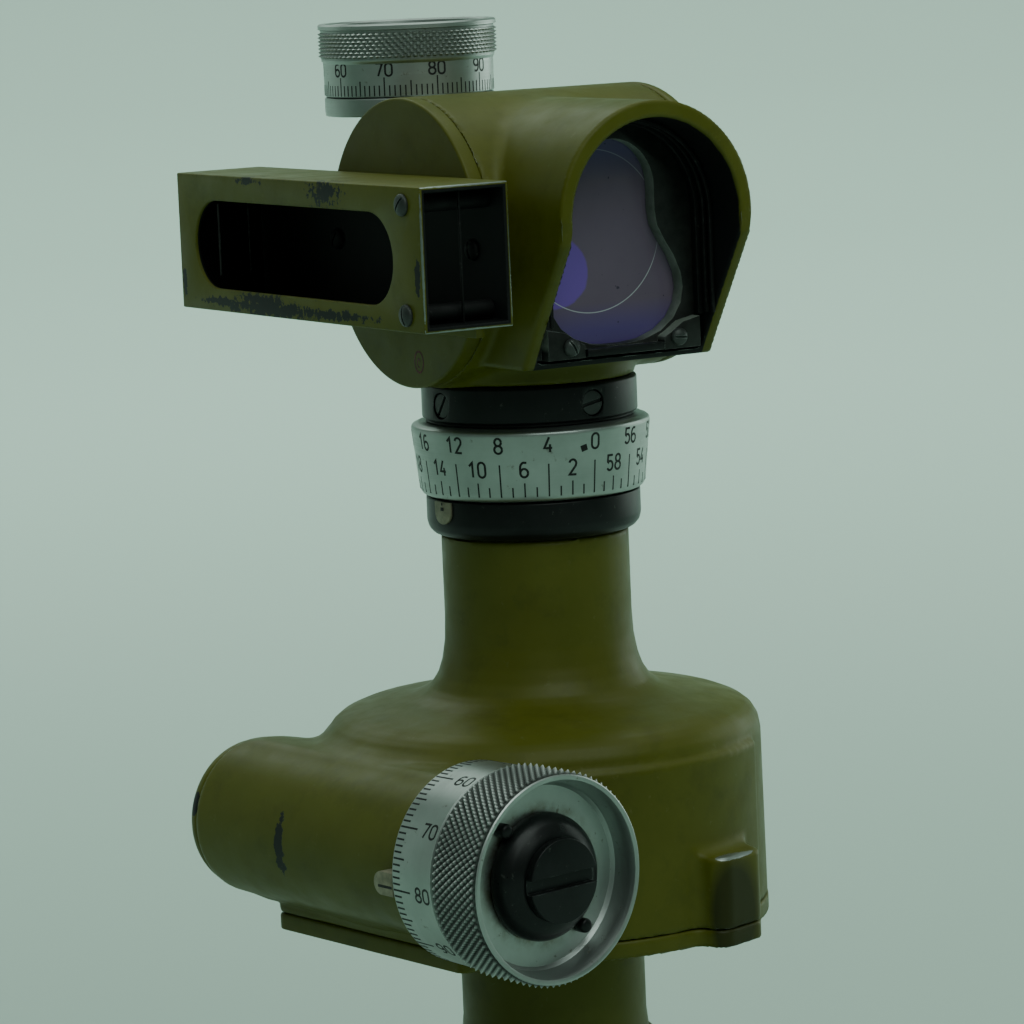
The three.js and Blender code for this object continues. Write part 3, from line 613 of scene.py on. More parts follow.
def carve(base, cutters, operation="DIFFERENCE"):
    """base with the cutter objects taken away or joined on; the cutters are used up."""
    for cutter in cutters:
        step = base.modifiers.new("step", "BOOLEAN")
        step.operation = operation
        step.solver = "EXACT"
        step.object = cutter
    apply_modifiers(base)
    for cutter in cutters:
        bpy.data.objects.remove(cutter)
    return base


def apply_modifiers(obj):
    bpy.context.view_layer.update()
    graph = bpy.context.evaluated_depsgraph_get()
    mesh = bpy.data.meshes.new_from_object(obj.evaluated_get(graph))
    obj.modifiers.clear()
    obj.data = mesh
    return obj


def bevel(obj, width, segments=2, angle=35):
    step = obj.modifiers.new("bevel", "BEVEL")
    step.width = width * MM
    step.segments = segments
    step.limit_method = "ANGLE"
    step.angle_limit = rad(angle)
    step.use_clamp_overlap = True
    return apply_modifiers(obj)


def arc(cx, cy, rx, ry, start, end, steps=16):
    return [(cx + rx * math.cos(rad(start + (end - start) * k / steps)),
             cy + ry * math.sin(rad(start + (end - start) * k / steps))) for k in range(steps + 1)]


def arch(half, foot, spring, steps=36):
    return [(-half, foot), (half, foot)] + arc(0, spring, half, half, 0, 180, steps)


def slot_outline(x0, x1, y0, y1, steps=16):
    r = (y1 - y0) / 2
    return arc(x1 - r, y0 + r, r, r, -90, 90, steps) + arc(x0 + r, y0 + r, r, r, 90, 270, steps)


# ------------------------------------------------------------------ cast shapes as distance fields
def polygon_field(points):
    """Signed distance to a closed polygon, negative inside, for arrays of the two coordinates."""
    def distance(a, b):
        best, sign = None, None
        for i, (px, py) in enumerate(points):
            qx, qy = points[i - 1]
            ex, ey = qx - px, qy - py
            wx, wy = a - px, b - py
            t = np.clip((wx * ex + wy * ey) / (ex * ex + ey * ey), 0, 1)
            gap = (wx - ex * t) ** 2 + (wy - ey * t) ** 2
            above, below = b >= py, b < qy
            left = ex * wy > ey * wx
            crossing = (above & below & left) | (~above & ~below & ~left)
            flip = np.where(crossing, -1.0, 1.0)
            best = gap if best is None else np.minimum(best, gap)
            sign = flip if sign is None else sign * flip
        return sign * np.sqrt(best)
    return distance


def within(value, low, high):
    return np.maximum(low - value, value - high)


def meet(a, b, soft=0.0):
    """Intersection of two fields, its edge rounded over about the soft length."""
    return -join(-a, -b, soft)


def join(a, b, soft=0.0):
    """Union of two fields with a fillet of about the soft length."""
    if soft <= 0:
        return np.minimum(a, b)
    h = np.clip(0.5 + 0.5 * (b - a) / soft, 0, 1)
    return b + (a - b) * h - soft * h * (1 - h)


def disc(a, b, radius):
    return np.sqrt(a * a + b * b) - radius


def arch_field(y, z, half, foot, spring):
    rise = np.maximum(z - spring, 0)
    return np.maximum(np.sqrt(y * y + rise * rise) - half, foot - z)


CORNERS = [(i, j, k) for i in (0, 1) for j in (0, 1) for k in (0, 1)]
EDGES = [(a, b) for a in CORNERS for b in CORNERS if sum(b) == sum(a) + 1
         and all(q >= p for p, q in zip(a, b))]


def cast(name, field, low, high, step, place=ROW):
    """A smooth closed mesh where field(x, y, z) is zero, on a grid of the given step in mm."""
    spans = [np.arange(l, h + step, step) for l, h in zip(low, high)]
    value = field(spans[0][:, None, None], spans[1][None, :, None], spans[2][None, None, :])
    value = np.ascontiguousarray(np.broadcast_to(value, [len(s) for s in spans]), np.float32)
    inner = value < 0
    cells = tuple(n - 1 for n in value.shape)

    def corner(array, c):
        return array[c[0]:c[0] + cells[0], c[1]:c[1] + cells[1], c[2]:c[2] + cells[2]]

    count = sum(corner(inner, c).astype(np.int8) for c in CORNERS)
    index = np.argwhere((count > 0) & (count < 8))
    ident = np.full(cells, -1, np.int64)
    ident[tuple(index.T)] = np.arange(len(index))
    total, hits = np.zeros((len(index), 3)), np.zeros(len(index))
    for a, b in EDGES:
        fa, fb = value[tuple((index + a).T)], value[tuple((index + b).T)]
        cross = (fa < 0) != (fb < 0)
        t = fa[cross] / (fa[cross] - fb[cross])
        total[cross] += np.array(a) + t[:, None] * (np.array(b) - np.array(a))
        hits[cross] += 1
    points = (index + total / hits[:, None]) * step + np.array([s[0] for s in spans])
    for _ in range(2):
        points = settle(points, field, step)
    quads = []
    for axis in range(3):
        u, v = [a for a in range(3) if a != axis]
        ahead = np.eye(3, dtype=int)[axis]
        size = [value.shape[a] - (1 if a == axis else 0) for a in range(3)]
        first = inner[:size[0], :size[1], :size[2]]
        second = inner[ahead[0]:ahead[0] + size[0], ahead[1]:ahead[1] + size[1],
                       ahead[2]:ahead[2] + size[2]]
        spot = np.argwhere(first != second)
        spot = spot[(spot[:, u] > 0) & (spot[:, v] > 0)]
        du, dv = np.eye(3, dtype=int)[u], np.eye(3, dtype=int)[v]
        ring = [ident[tuple((spot - s).T)] for s in (0 * du, du, du + dv, dv)]
        quad = np.stack(ring, 1)
        outward = first[tuple(spot.T)]
        if axis == 1:
            outward = ~outward
        quad[~outward] = quad[~outward][:, ::-1]
        quads.append(quad)
    faces = np.concatenate(quads)
    mesh = bpy.data.meshes.new(name)
    mesh.from_pydata((points * MM).tolist(), [], faces.tolist())
    mesh.validate()
    obj = bpy.data.objects.new(name, mesh)
    bpy.context.scene.collection.objects.link(obj)
    obj.matrix_world = place
    return obj


def settle(points, field, step):
    """Moves points onto the zero surface along the field's slope, by at most half a step."""
    h = 0.02
    x, y, z = points.T
    here = field(x, y, z)
    slope = np.stack([(field(*(points + h * e).T) - field(*(points - h * e).T)) / (2 * h)
                      for e in np.eye(3)], 1)
    size = np.maximum((slope ** 2).sum(1), 0.05)
    move = np.clip(-here / size, -0.5 * step, 0.5 * step)
    return points + move[:, None] * slope


# ------------------------------------------------------------------ engraved scales
GLYPH_HEIGHT = 1.8


def glyph(digit):
    """Strokes of an upright engraved digit in a box one wide and 1.8 high."""
    bowl = arc(0.5, 0.5, 0.5, 0.5, 0, 360, 20)
    return {
        "0": [arc(0.5, 1.3, 0.5, 0.5, 0, 180, 10) + arc(0.5, 0.5, 0.5, 0.5, 180, 360, 10) + [(1.0, 1.3)]],
        "1": [[(0.12, 1.32), (0.6, 1.8), (0.6, 0.0)]],
        "2": [arc(0.5, 1.32, 0.47, 0.48, 165, 0, 10) + [(0.9, 1.05), (0.05, 0.0), (1.0, 0.0)]],
        "3": [arc(0.48, 1.36, 0.42, 0.44, 150, -90, 10) + arc(0.48, 0.48, 0.5, 0.48, 85, -150, 10)],
        "4": [[(0.62, 1.8), (0.0, 0.5), (1.0, 0.5)], [(0.72, 0.95), (0.72, 0.0)]],
        "5": [[(0.95, 1.8), (0.15, 1.8), (0.1, 1.02)] + arc(0.48, 0.55, 0.5, 0.55, 130, -150, 12)],
        "6": [[(0.85, 1.72)] + arc(0.62, 1.1, 0.62, 0.7, 110, 180, 6) + [(0.0, 0.5)], bowl],
        "7": [[(0.0, 1.8), (1.0, 1.8), (0.35, 0.0)]],
        "8": [arc(0.5, 1.36, 0.42, 0.44, 0, 360, 18), arc(0.5, 0.47, 0.5, 0.47, 0, 360, 18)],
        "9": [[(0.15, 0.08)] + arc(0.38, 0.7, 0.62, 0.7, -70, 0, 6) + [(1.0, 1.3)],
              arc(0.5, 1.3, 0.5, 0.5, 0, 360, 20)],
    }[digit]


def label_strokes(text, height, x, y, wide=1.0):
    """Strokes of a number centred on x, its foot at y."""
    scale = height / GLYPH_HEIGHT
    across = scale * wide
    advance = across * 1.42
    start = x - (advance * (len(text) - 1) + across) / 2
    return [[(start + k * advance + a * across, y + b * scale) for a, b in stroke]
            for k, digit in enumerate(text) for stroke in glyph(digit)]


class Inlay:
    """Filled engraving laid on a curved surface: strokes become thin closed slabs."""

    PROUD, DEEP = 0.018, 0.06         # mm above and below the surface
    LONGEST = 0.6                     # longest straight piece of a stroke, mm

    def __init__(self, wrap):
        self.wrap = wrap          # (across, up, lift) in mm to a point in the local frame
        self.points, self.faces = [], []

    def stroke(self, path, width):
        path = self.dense(path)
        left, right = [], []
        for i, point in enumerate(path):
            before = np.array(path[max(i - 1, 0)])
            after = np.array(path[min(i + 1, len(path) - 1)])
            along = after - before
            along = along / max(np.hypot(*along), 1e-9)
            normal = np.array([-along[1], along[0]])
            if 0 < i < len(path) - 1:
                arm = np.array(point) - before
                arm = arm / max(np.hypot(*arm), 1e-9)
                normal = normal / max(abs(normal @ np.array([-arm[1], arm[0]])), 0.5)
            left.append(np.array(point) + normal * width / 2)
            right.append(np.array(point) - normal * width / 2)
        self.slab(left, right)

    def dense(self, path):
        found = [path[0]]
        for a, b in zip(path, path[1:]):
            parts = max(1, math.ceil(math.dist(a, b) / self.LONGEST))
            found += [(a[0] + (b[0] - a[0]) * k / parts, a[1] + (b[1] - a[1]) * k / parts)
                      for k in range(1, parts + 1)]
        return found

    def slab(self, left, right):
        base, count = len(self.points), len(left)
        for lift in (self.PROUD, -self.DEEP):
            for side in (left, right):
                self.points += [self.wrap(p[0], p[1], lift) for p in side]
        lt, rt, lb, rb = (base + k * count for k in range(4))
        for i in range(count - 1):
            self.faces += [(lt + i, rt + i, rt + i + 1, lt + i + 1), (lb + i, lb + i + 1, rb + i + 1, rb + i),
                           (lt + i, lt + i + 1, lb + i + 1, lb + i), (rt + i, rb + i, rb + i + 1, rt + i + 1)]
        last = count - 1
        self.faces += [(lt, lb, rb, rt), (lt + last, rt + last, rb + last, lb + last)]

    def build(self, name, place, body, key="ink"):
        finish_mesh(mesh_object(name, self.points, self.faces, place), key, body)


def ring_wrap(radius_at):
    """across is an arc length counted counter-clockwise at the mean radius, up is the height;
    radius_at(None) is the mean radius."""
    def wrap(across, up, lift):
        r = radius_at(up)
        angle = across / radius_at(None)
        return ((r + lift) * math.cos(angle), (r + lift) * math.sin(angle), up)
    return wrap


# ------------------------------------------------------------------ knurled grips
def knurled_band(radius, low, high, around, rows, depth):
    """Points and faces of a diamond knurl: pyramids on a cylinder between two heights."""
    pitch = (high - low) / rows
    table, points, faces = {}, [], []

    def vertex(s, t):
        key = (s % (4 * around), t)
        if key not in table:
            a, b = (s + t) // 2, (s - t) // 2
            peak = a % 2 == 1 and b % 2 == 1 and 0 < t < 4 * rows
            r = radius if peak else radius - depth
            angle = 2 * math.pi * s / (4 * around)
            table[key] = len(points)
            points.append((r * math.cos(angle), r * math.sin(angle), low + pitch * t / 4))
        return table[key]

    for t in range(4 * rows):
        for s in range(t % 2, 4 * around, 2):
            here, right, up = vertex(s, t), vertex(s + 2, t), vertex(s + 1, t + 1)
            faces.append((here, right, up))
            faces.append((right, vertex(s + 3, t + 1), up))
    return points, faces


def knurled(name, profile_low, band, profile_high, place):
    """A turned solid whose outline is profile_low, a knurled band, then profile_high; both
    profiles are [radius, height] and the last closes onto the first."""
    low, high = band[1:3]
    points, faces = knurled_band(*band)
    start = [i for i, p in enumerate(points) if abs(p[2] - low) < 1e-6]
    stop = [i for i, p in enumerate(points) if abs(p[2] - high) < 1e-6]

    def angle(i):
        return math.atan2(points[i][1], points[i][0]) % (2 * math.pi)
    start.sort(key=angle)
    stop.sort(key=angle)
    turns = [(angle(i), angle(j)) for i, j in zip(stop, start)]
    count = len(start)
    profile = profile_high + profile_low
    rings = [stop]
    for n, (r, z) in enumerate(profile):
        mix = n / max(len(profile) - 1, 1)
        rings.append(list(range(len(points), len(points) + count)))
        points += [(r * math.cos(a + (b - a) * mix), r * math.sin(a + (b - a) * mix), z)
                   for a, b in turns]
    rings.append(start)
    for one, two in zip(rings, rings[1:]):
        faces += [(one[k], one[(k + 1) % count], two[(k + 1) % count], two[k]) for k in range(count)]
    return mesh_object(name, points, faces, place)


# ------------------------------------------------------------------ screws
def screw_head(name, radius, height, slot, depth, place, turn, domed=False, shank=0.8):
    """A slotted head standing on the frame's XY plane with a stub of shank below."""
    if domed:
        top = [(radius * math.cos(rad(a)), 0.25 * height + 0.75 * height * math.sin(rad(a)))
               for a in range(0, 90, 15)] + [(0, height)]
        outline = [(0, -shank), (radius * 0.45, -shank), (radius * 0.45, 0), (radius, 0)] + top
    else:
        outline = [(0, -shank), (radius * 0.45, -shank), (radius * 0.45, 0), (radius, 0),
                   (radius, height), (0, height)]
    body = lathe(name, outline, place, 0.12 if domed else 0.2, 48)
    cutter = slab("cutter", -radius * 1.3, radius * 1.3, -slot / 2, slot / 2,
                  height - depth, height + 1, at(place, turn=(0, 0, turn)))
    return bevel(carve(body, [cutter]), 0.06, 1, 50)


# ------------------------------------------------------------------ column castings
def rotated(x, y, degrees):
    c, s = math.cos(rad(degrees)), math.sin(rad(degrees))
    return x * c + y * s, -x * s + y * c


def wall_pad(x, y, radius):
    """The thicker part of the wall between two azimuths."""
    first, last = rad(-70), rad(31.5)
    left = -x * math.sin(last) + y * math.cos(last)
    right = x * math.sin(first) - y * math.cos(first)
    return meet(disc(x, y, radius), meet(left, right, 1.0), 1.5)


def drum_pocket(x, y, z):
    return meet(disc(y - WORM_Y, z - WORM_Z, POCKET_R), POCKET_X - x)


def lug_field(x, y, z):
    """The rounded block on the column's side; its top falls a little towards the outer end."""
    along, across = rotated(x, y, 10)
    middle, half_length, half_width, corner = 38.1, 8.1, 6.4, 3.0
    dx = np.abs(along - middle) - (half_length - corner)
    dy = np.abs(across) - (half_width - corner)
    plan = disc(np.maximum(dx, 0), np.maximum(dy, 0), corner) + np.minimum(np.maximum(dx, dy), 0)
    top = 95 + 0.08 * (middle + half_length - along)
    return meet(plan, z - top, 0.7)


def foot_pad(x, y):
    return meet(within(x, -29.5, 25.5), within(y, -41.5, -10), 1.6)


COLUMN_PROFILE = [(-5, SEAM_Z - 4), (WALL_R, SEAM_Z - 4), (WALL_R - 0.3, SHOULDER_Z), (39.9, 115.2),
                  (38.9, 116.9), (37.4, 118.1), (35.2, 119), (29.4, 120.2), (24.6, 121), (22.1, 121.9),
                  (20.4, 123.2), (19, 125.3), (18.1, 128), (17.5, 131.5), (NECK_R, 136), (NECK_R, 151.4),
                  (15.1, 151.4), (15.1, 158.4), (-5, 158.4)]
column_outline = polygon_field(COLUMN_PROFILE)
cavity_outline = polygon_field([(-5, 74), (34.6, 74), (34.6, 109), (33, 112), (30, 113.2), (16, 114.6),
                                (BORE_R, 116.5), (BORE_R, 165), (-5, 165)])


def column_field(x, y, z):
    r = np.sqrt(x * x + y * y)
    shape = column_outline(r, z)
    shape = join(shape, meet(wall_pad(x, y, PAD_R), z - SHOULDER_Z, 0.9), 0.5)
    worm = meet(disc(y - WORM_Y, z - WORM_Z, WORM_HOUSE_R), within(x, -34.7, 27.8), 0.9)
    fill = meet(meet(within(y, -42, -15), within(z, 86, 112.6), 1.5), within(x, -30, 27.8), 3.0)
    shape = join(shape, join(worm, fill, 5.0), 4.5)
    shape = join(shape, meet(foot_pad(x, y), z - 90, 1), 1.2)
    shape = join(shape, lug_field(x, y, z), 2.4)
    shape = meet(shape, SEAM_Z + 0.1 - z, 0.5)
    shape = meet(shape, -cavity_outline(r, z), 0.4)
    worm_bore = disc(y - WORM_Y, z - WORM_Z, 9.4)
    bore = np.minimum(meet(worm_bore, within(x, -15.8, 40)), meet(worm_bore, within(x, -45, -29)))
    shape = meet(shape, -bore, 0.2)
    return meet(shape, -drum_pocket(x, y, z), 0.3)


def base_field(x, y, z):
    plan = join(disc(x, y, WALL_R + 0.1), wall_pad(x, y, PAD_R), 0.5)
    plan = join(plan, foot_pad(x, y), 1.2)
    plan = join(plan, lug_field(x, y, 80 + 0 * z), 2.4)
    shape = meet(plan, within(z, BASE_Z, SEAM_Z - 0.06), 0.5)
    collar = meet(meet(disc(x, y, 34.3), -disc(x, y, 31.5)), within(z, SEAM_Z - 1, 84.5))
    shape = np.minimum(shape, collar)
    shape = meet(shape, -disc(x, y, 17.35), 0.2)
    return meet(shape, -drum_pocket(x, y, z), 0.3)


def elbow_field(x, y, z):
    side = polygon_field([(-19, 54), (16, 54), (21, 49), (21, 26), (5.5, 4.2), (-19, 4.2)])
    shape = meet(side(y, z), within(x, -19, 19), 2.2)
    shape = join(shape, meet(disc(x, y, 18.6), within(z, 50, 56.2), 0.8), 1.5)
    shape = join(shape, meet(disc(x, z - EYE_Z, 18.2), within(y, -21.2, -10), 0.8), 1.5)
    room = polygon_field([(-14.5, 12), (7.8, 12), (14.5, 21), (14.5, 44), (-14.5, 44)])
    hollow = meet(within(x, -14.5, 14.5), room(y, z))
    shape = meet(shape, -hollow, 0.4)
    shape = meet(shape, -meet(disc(x, y, 14.2), within(z, 40, 60)), 0.3)
    return meet(shape, -meet(disc(x, z - EYE_Z, 11), within(y, -30, -8)), 0.3)


# ------------------------------------------------------------------ head casting
hood_side = polygon_field([(45.0, 250), (45.0, 211), (44.3, 206.7), (32.2, 187.3), (30.5, 184.4),
                           (30.5, 170), (-60, 170), (-60, 250)])


def head_field(x, y, z):
    barrel = meet(disc(x, z - SIGHT_Z, HEAD_R), within(y, *HEAD_Y), 0.35)
    hood = meet(arch_field(y, z, ARCH_HALF, ARCH_FOOT, ARCH_SPRING), within(x, 0, 45), 0.45)
    hood = meet(hood, hood_side(x, z), 0.45)
    shape = join(barrel, hood, 1.5)
    shape = join(shape, meet(disc(x, y, 19.5), within(z, 179.9, 192), 0.5), 2.0)
    shell = np.minimum(disc(x - REAR_U, y - REAR_Y, 9.2), meet(within(y - REAR_Y, -9.2, 9.2),
                                                               within(x, REAR_U, -18)))
    shape = join(shape, meet(shell, within(z, 189, 227), 0.7), 3.0)
    shape = meet(shape, within(y, *HEAD_Y), 0.35)
    shape = meet(shape, -meet(disc(x, z - SIGHT_Z, 22.2), within(y, -30, 30)), 0.3)
    shape = meet(shape, -meet(disc(x, y, BORE_R + 0.1), within(z, 170, 200)), 0.3)
    shape = meet(shape, -meet(arch_field(y, z, 14.6, 188, 210), within(x, 5, 40)), 0.3)
    shape = meet(shape, -meet(arch_field(y, z, 17.45, 185.6, 210.2), 25.3 - x), 0.3)
    shape = meet(shape, -meet(arch_field(y, z, HOOD_BORE, 183, 210.4), 33.2 - x), 0.35)
    hollow = np.minimum(meet(within(x, REAR_U - 6.3, -15), within(y - REAR_Y, -5, 5)),
                        disc(x - REAR_U, y - REAR_Y, 6.4))
    shape = meet(shape, -meet(hollow, within(z, 190.5, 223)), 0.3)
    return meet(shape, -meet(disc(x - REAR_U, y - REAR_Y, 3.6), within(z, 220, 230)), 0.2)


# ------------------------------------------------------------------ pieces
def build_column():
    castings = [("main_casting", column_field, (-43, -58, 81), (49, 43, 160), 0.75, "main_housing"),
                ("base_plate", base_field, (-43, -44, 77.5), (49, 43, 86), 0.6, "base_cover"),
                ("elbow_casting", elbow_field, (-20.5, -22.5, 3), (20.5, 22.5, 57.5), 0.7, "eyepiece_elbow")]
    for *shape, node in castings:
        finish_mesh(cast(*shape), "column", "column", node, 60)

    tail = lathe("tail_sleeve", [(14.2, 54.05), (17.5, 54.05), (17.5, 57), (17.15, 60.5), (17.15, 81.7),
                                 (14.2, 81.7)])
    finish_mesh(tail, "column", "column", "tail_tube")
    foot = bevel(prism("elbow_foot", rounded([(-17, -19), (17, -19), (17, 6), (-17, 6)], 3.0, steps=6),
                       0, 4.15), 0.5, 3)
    finish_mesh(foot, "column", "column", "elbow_bottom_cover")

    ring = lathe("index_ring", [(15.2, 151.5), (17.6, 151.5), (18.6, 151.9), (19.4, 152.8), (19.75, 154.1),
                                (19.75, 158.65), (15.2, 158.65)], radius=0.35)
    finish_mesh(ring, "black_ring", "column", "lower_index_ring")
    add_index_plate()
    add_worm_fittings()
    add_eyepiece()
    for k in range(4):
        turn = rad(45 + 90 * k)
        spot = at(ROW, 26.5 * math.cos(turn), 26.5 * math.sin(turn), BASE_Z, (180, 0, 0))
        head = screw_head(f"base_screw_{k + 1}", 2.6, 0.9, 0.7, 0.5, spot, 37 * k, shank=1.5)
        finish_mesh(head, "black", "column")


def add_index_plate():
    """Cream plate with a round foot on the lower ring, its dot and its line."""
    radius, proud = 20.05, 0.12

    def wrap(across, up, lift):
        angle = rad(PLATE_TURN) + across / 19.9
        return ((radius + lift) * math.cos(angle), (radius + lift) * math.sin(angle), up)
    outline = [(2.6, 158.5)] + arc(0, 156.6, 2.6, 2.2, 0, -180, 20) + [(-2.6, 158.5)]
    plate = bevel(prism("index_mark_plate", outline, proud, -0.35, lift=wrap), 0.08, 2)
    finish_mesh(plate, "cream", "column", "index_plate")
    marks = Inlay(lambda a, b, lift: wrap(a, b, lift + proud))
    marks.stroke([(0, 156.9), (0, 157.5)], 0.85)
    marks.stroke([(0, 157.9), (0, 158.4)], 0.28)
    marks.build("index_plate_marks", ROW, "column")


def add_worm_fittings():
    cap = lathe("worm_cap", [(0, -38.7), (10.6, -38.7), (12.4, -38.2), (13.5, -37.2), (14.0, -36.0),
                             (14.0, -34.75), (9.2, -34.75), (9.2, -30.2), (0, -30.2)], WORM, 0.8)
    finish_mesh(cap, "cap", "column", "worm_end_cap")
    tab_outline = slot_outline(23.2, 32, INDEX_TAB_Z - 2.1, INDEX_TAB_Z + 2.1)
    tab = prism("drum_index", tab_outline, 53.5, 58.4, lift=facing_y)
    mask = lathe("cutter", [(0, 10), (WORM_HOUSE_R + 0.02, 10), (WORM_HOUSE_R + 0.02, 40), (0, 40)], WORM)
    stop = slab("cutter", 28.5, 40, -62, -40, 90, 110)
    finish_mesh(bevel(carve(tab, [mask, stop]), 0.35, 3, 50), "cream", "column",
                "drum_index_tab")
    line = Inlay(lambda a, b, lift: (a, -58.4 - lift, b))
    line.stroke([(24.4, INDEX_TAB_Z - 0.5), (28.3, INDEX_TAB_Z - 0.5)], 0.5)
    line.build("drum_index_line", ROW, "column")


def add_eyepiece():
    barrel = lathe("ocular_barrel", [(10.9, 19.05), (16.5, 19.05), (16.5, 22), (14.4, 22.6), (14.4, 29),
                                     (15.6, 29.8), (15.6, 42), (14.8, 43), (13, 43), (13, 51), (11.8, 51),
                                     (11.8, 47), (10.9, 47)], EYEPIECE)
    finish_mesh(barrel, "black", "column", "eyepiece_barrel")
    grip = knurled("ocular_grip", [(15.3, 33.9)], (15.95, 34.0, 39.0, 96, 5, 0.3), [(15.3, 39.1)],
                   EYEPIECE)
    finish_mesh(grip, "black", "column", sharp=25)
    lens = lathe("ocular_lens", [(0, 38.5), (10.8, 38.5), (10.8, 41.5), (8, 42.5), (5, 43.2), (0, 43.6)],
                 EYEPIECE)
    finish_mesh(lens, "glass", "column", "eye_lens")
    keeper = lathe("ocular_lens_ring", [(9.6, 43.7), (11.7, 43.7), (11.7, 46.9), (10.9, 46.9), (9.6, 45)],
                   EYEPIECE)
    finish_mesh(keeper, "black", "column")
    outline = [(13.1, 43.2), (16, 43.2), (16.4, 51), (18, 58), (20.6, 67), (22, 72.6), (22, 74),
               (21.2, 74.5), (20.3, 73.8), (18.8, 67.5), (16.4, 59), (14.4, 53), (13.1, 52)]
    cup = lathe("rubber_eyecup", rounded(outline, 4.0), EYEPIECE, 0.3)
    finish_mesh(cup, "rubber", "column", "eyecup")


def build_azimuth_drive():
    band = (DRUM_KNURL_R, 40.75, 52.6, 88, 7, 0.66)
    drum = knurled("azimuth_dial", [(15.5, 30.4), (15.5, 29.1), (17.7, 29.1), (17.9, 29.3), (18.15, 40.1),
                                    (17.75, 40.3), (18.1, 40.55)], band,
                   [(18.25, 52.75), (18.05, 52.9), (17.6, 52.9), (17.35, 52.8), (17.05, 52.2),
                    (16.7, 50.5), (16.4, 48.4), (15.8, 47.75), (4.1, 47.7), (4.1, 32), (9, 32),
                    (9, 30.4)], WORM)
    finish_mesh(drum, "drum", "azimuth_drive", "azimuth_drum", 28)

    mean = 18       # radius at which lengths round the drum are measured

    def wrap(across, up, lift):
        r = 17.9 + 0.25 * (up - 28.5) / 12.4 + lift
        return (r * math.cos(across / mean), r * math.sin(across / mean), up)
    ticks = Inlay(wrap)
    for label in range(MARKS):
        across = mean * rad(DRUM_TURN + (label - 80) * MARK_STEP)
        reach = 34.1 if label % 10 == 0 else 32.4 if label % 5 == 0 else 31.4
        ticks.stroke([(across, 29.45), (across, reach)], 0.34)
        if label % 10 == 0:
            for stroke in label_strokes(str(label), 2.5, 37.5, -1.25, 1.1):
                ticks.stroke([(across - b, a) for a, b in stroke], 0.42)
    ticks.build("azimuth_dial_marks", WORM, "azimuth_drive")

    collar = lathe("dial_collar", [(4.1, 47.8), (11.2, 47.8), (11.2, 49.3), (10.7, 50.4), (9.7, 51.5),
                                   (8.3, 52.3), (7.6, 52.6), (2.6, 52.6), (2.6, 49.4), (4.1, 49.4)],
                   WORM, 0.5)
    finish_mesh(collar, "black_glossy", "azimuth_drive", "drum_collar")
    screw = screw_head("dial_screw", 7.4, 1.7, 2.5, 1.4, at(WORM, z=52.7), 91, shank=1.2)
    finish_mesh(screw, "black_glossy", "azimuth_drive", "drum_screw")
    for k, (y, z) in enumerate([(-8.6, 9.5), (8.1, -9.9)]):
        pin = lathe(f"dial_pin_{k + 1}", [(0, 0), (1.3, 0), (1.3, 2.1), (0.9, 2.5), (0, 2.6)],
                    at(WORM, -z, y, 47.8), 0.4, 32)
        finish_mesh(pin, "black_glossy", "azimuth_drive", f"drum_pin_{k + 1}")


def build_rings():
    """The rings that turn with the head around the column's top."""
    outline = [(13.45, 158.95), (19.8, 158.95), (20.4, 159.3), (20.8, 160.2), (22.0, 171.3), (21.8, 171.8),
               (20.6, 172.3), (13.45, 172.3)]
    ring = lathe("azimuth_scale_ring", outline, radius=0.35, segments=192)
    finish_mesh(ring, "silver", "turning_head", "azimuth_ring")

    def radius_at(up):
        return RING_R if up is None else 20.8 + 1.2 * (up - 160.2) / 11.1     # the ring's cone
    marks = Inlay(ring_wrap(radius_at))
    for k in range(60):
        across = RING_R * rad(HEAD_TURN - 6 * k)
        top = 166.0 if k % 4 == 0 else 162.6 if k % 2 == 0 else 161.8
        marks.stroke([(across, 160.0), (across, top)], 0.29)
        if k % 2 == 0:
            upper = k % 4 == 0
            for stroke in label_strokes(str(k), 2.75, across, 168.1 if upper else 163.7):
                marks.stroke([(across + (a - across) * 0.92, b) for a, b in stroke], 0.42)
    marks.build("azimuth_scale_marks", ROW, "turning_head")
    spot = Inlay(ring_wrap(radius_at))
    across = RING_R * rad(HEAD_TURN - 5.4)
    spot.stroke([(across - 0.85, 168.2), (across - 0.2, 168.4), (across + 0.35, 168.55)], 1.15)
    spot.build("azimuth_scale_nick", ROW, "turning_head")

    clamp = lathe("clamp_band", [(13.45, 172.4), (19.2, 172.4), (19.2, 172.9), (19.85, 173.2),
                                 (19.85, 179.3), (19.4, 179.7), (13.45, 179.7)], radius=0.25)
    pockets = []
    for k in range(4):
        turn = -3.8 + 90 * k
        spot = at(ROW, turn=(0, 0, turn)) @ at(ROW, 18.2, 0, CLAMP_SCREW_Z, (0, 90, 0))
        pockets.append(lathe("cutter", [(0, -0.05), (2.45, -0.05), (2.45, 4), (0, 4)], spot, 0.01, 48))
        head = screw_head(f"clamp_band_screw_{k + 1}", 2.25, 1.35, 0.65, 0.7, spot, 101 + 15 * k)
        finish_mesh(head, "worn_screw", "turning_head", f"clamp_screw_{k + 1}")
    clamp = bevel(carve(clamp, pockets), 0.1, 2, 50)
    finish_mesh(clamp, "black_ring", "turning_head", "clamp_ring")


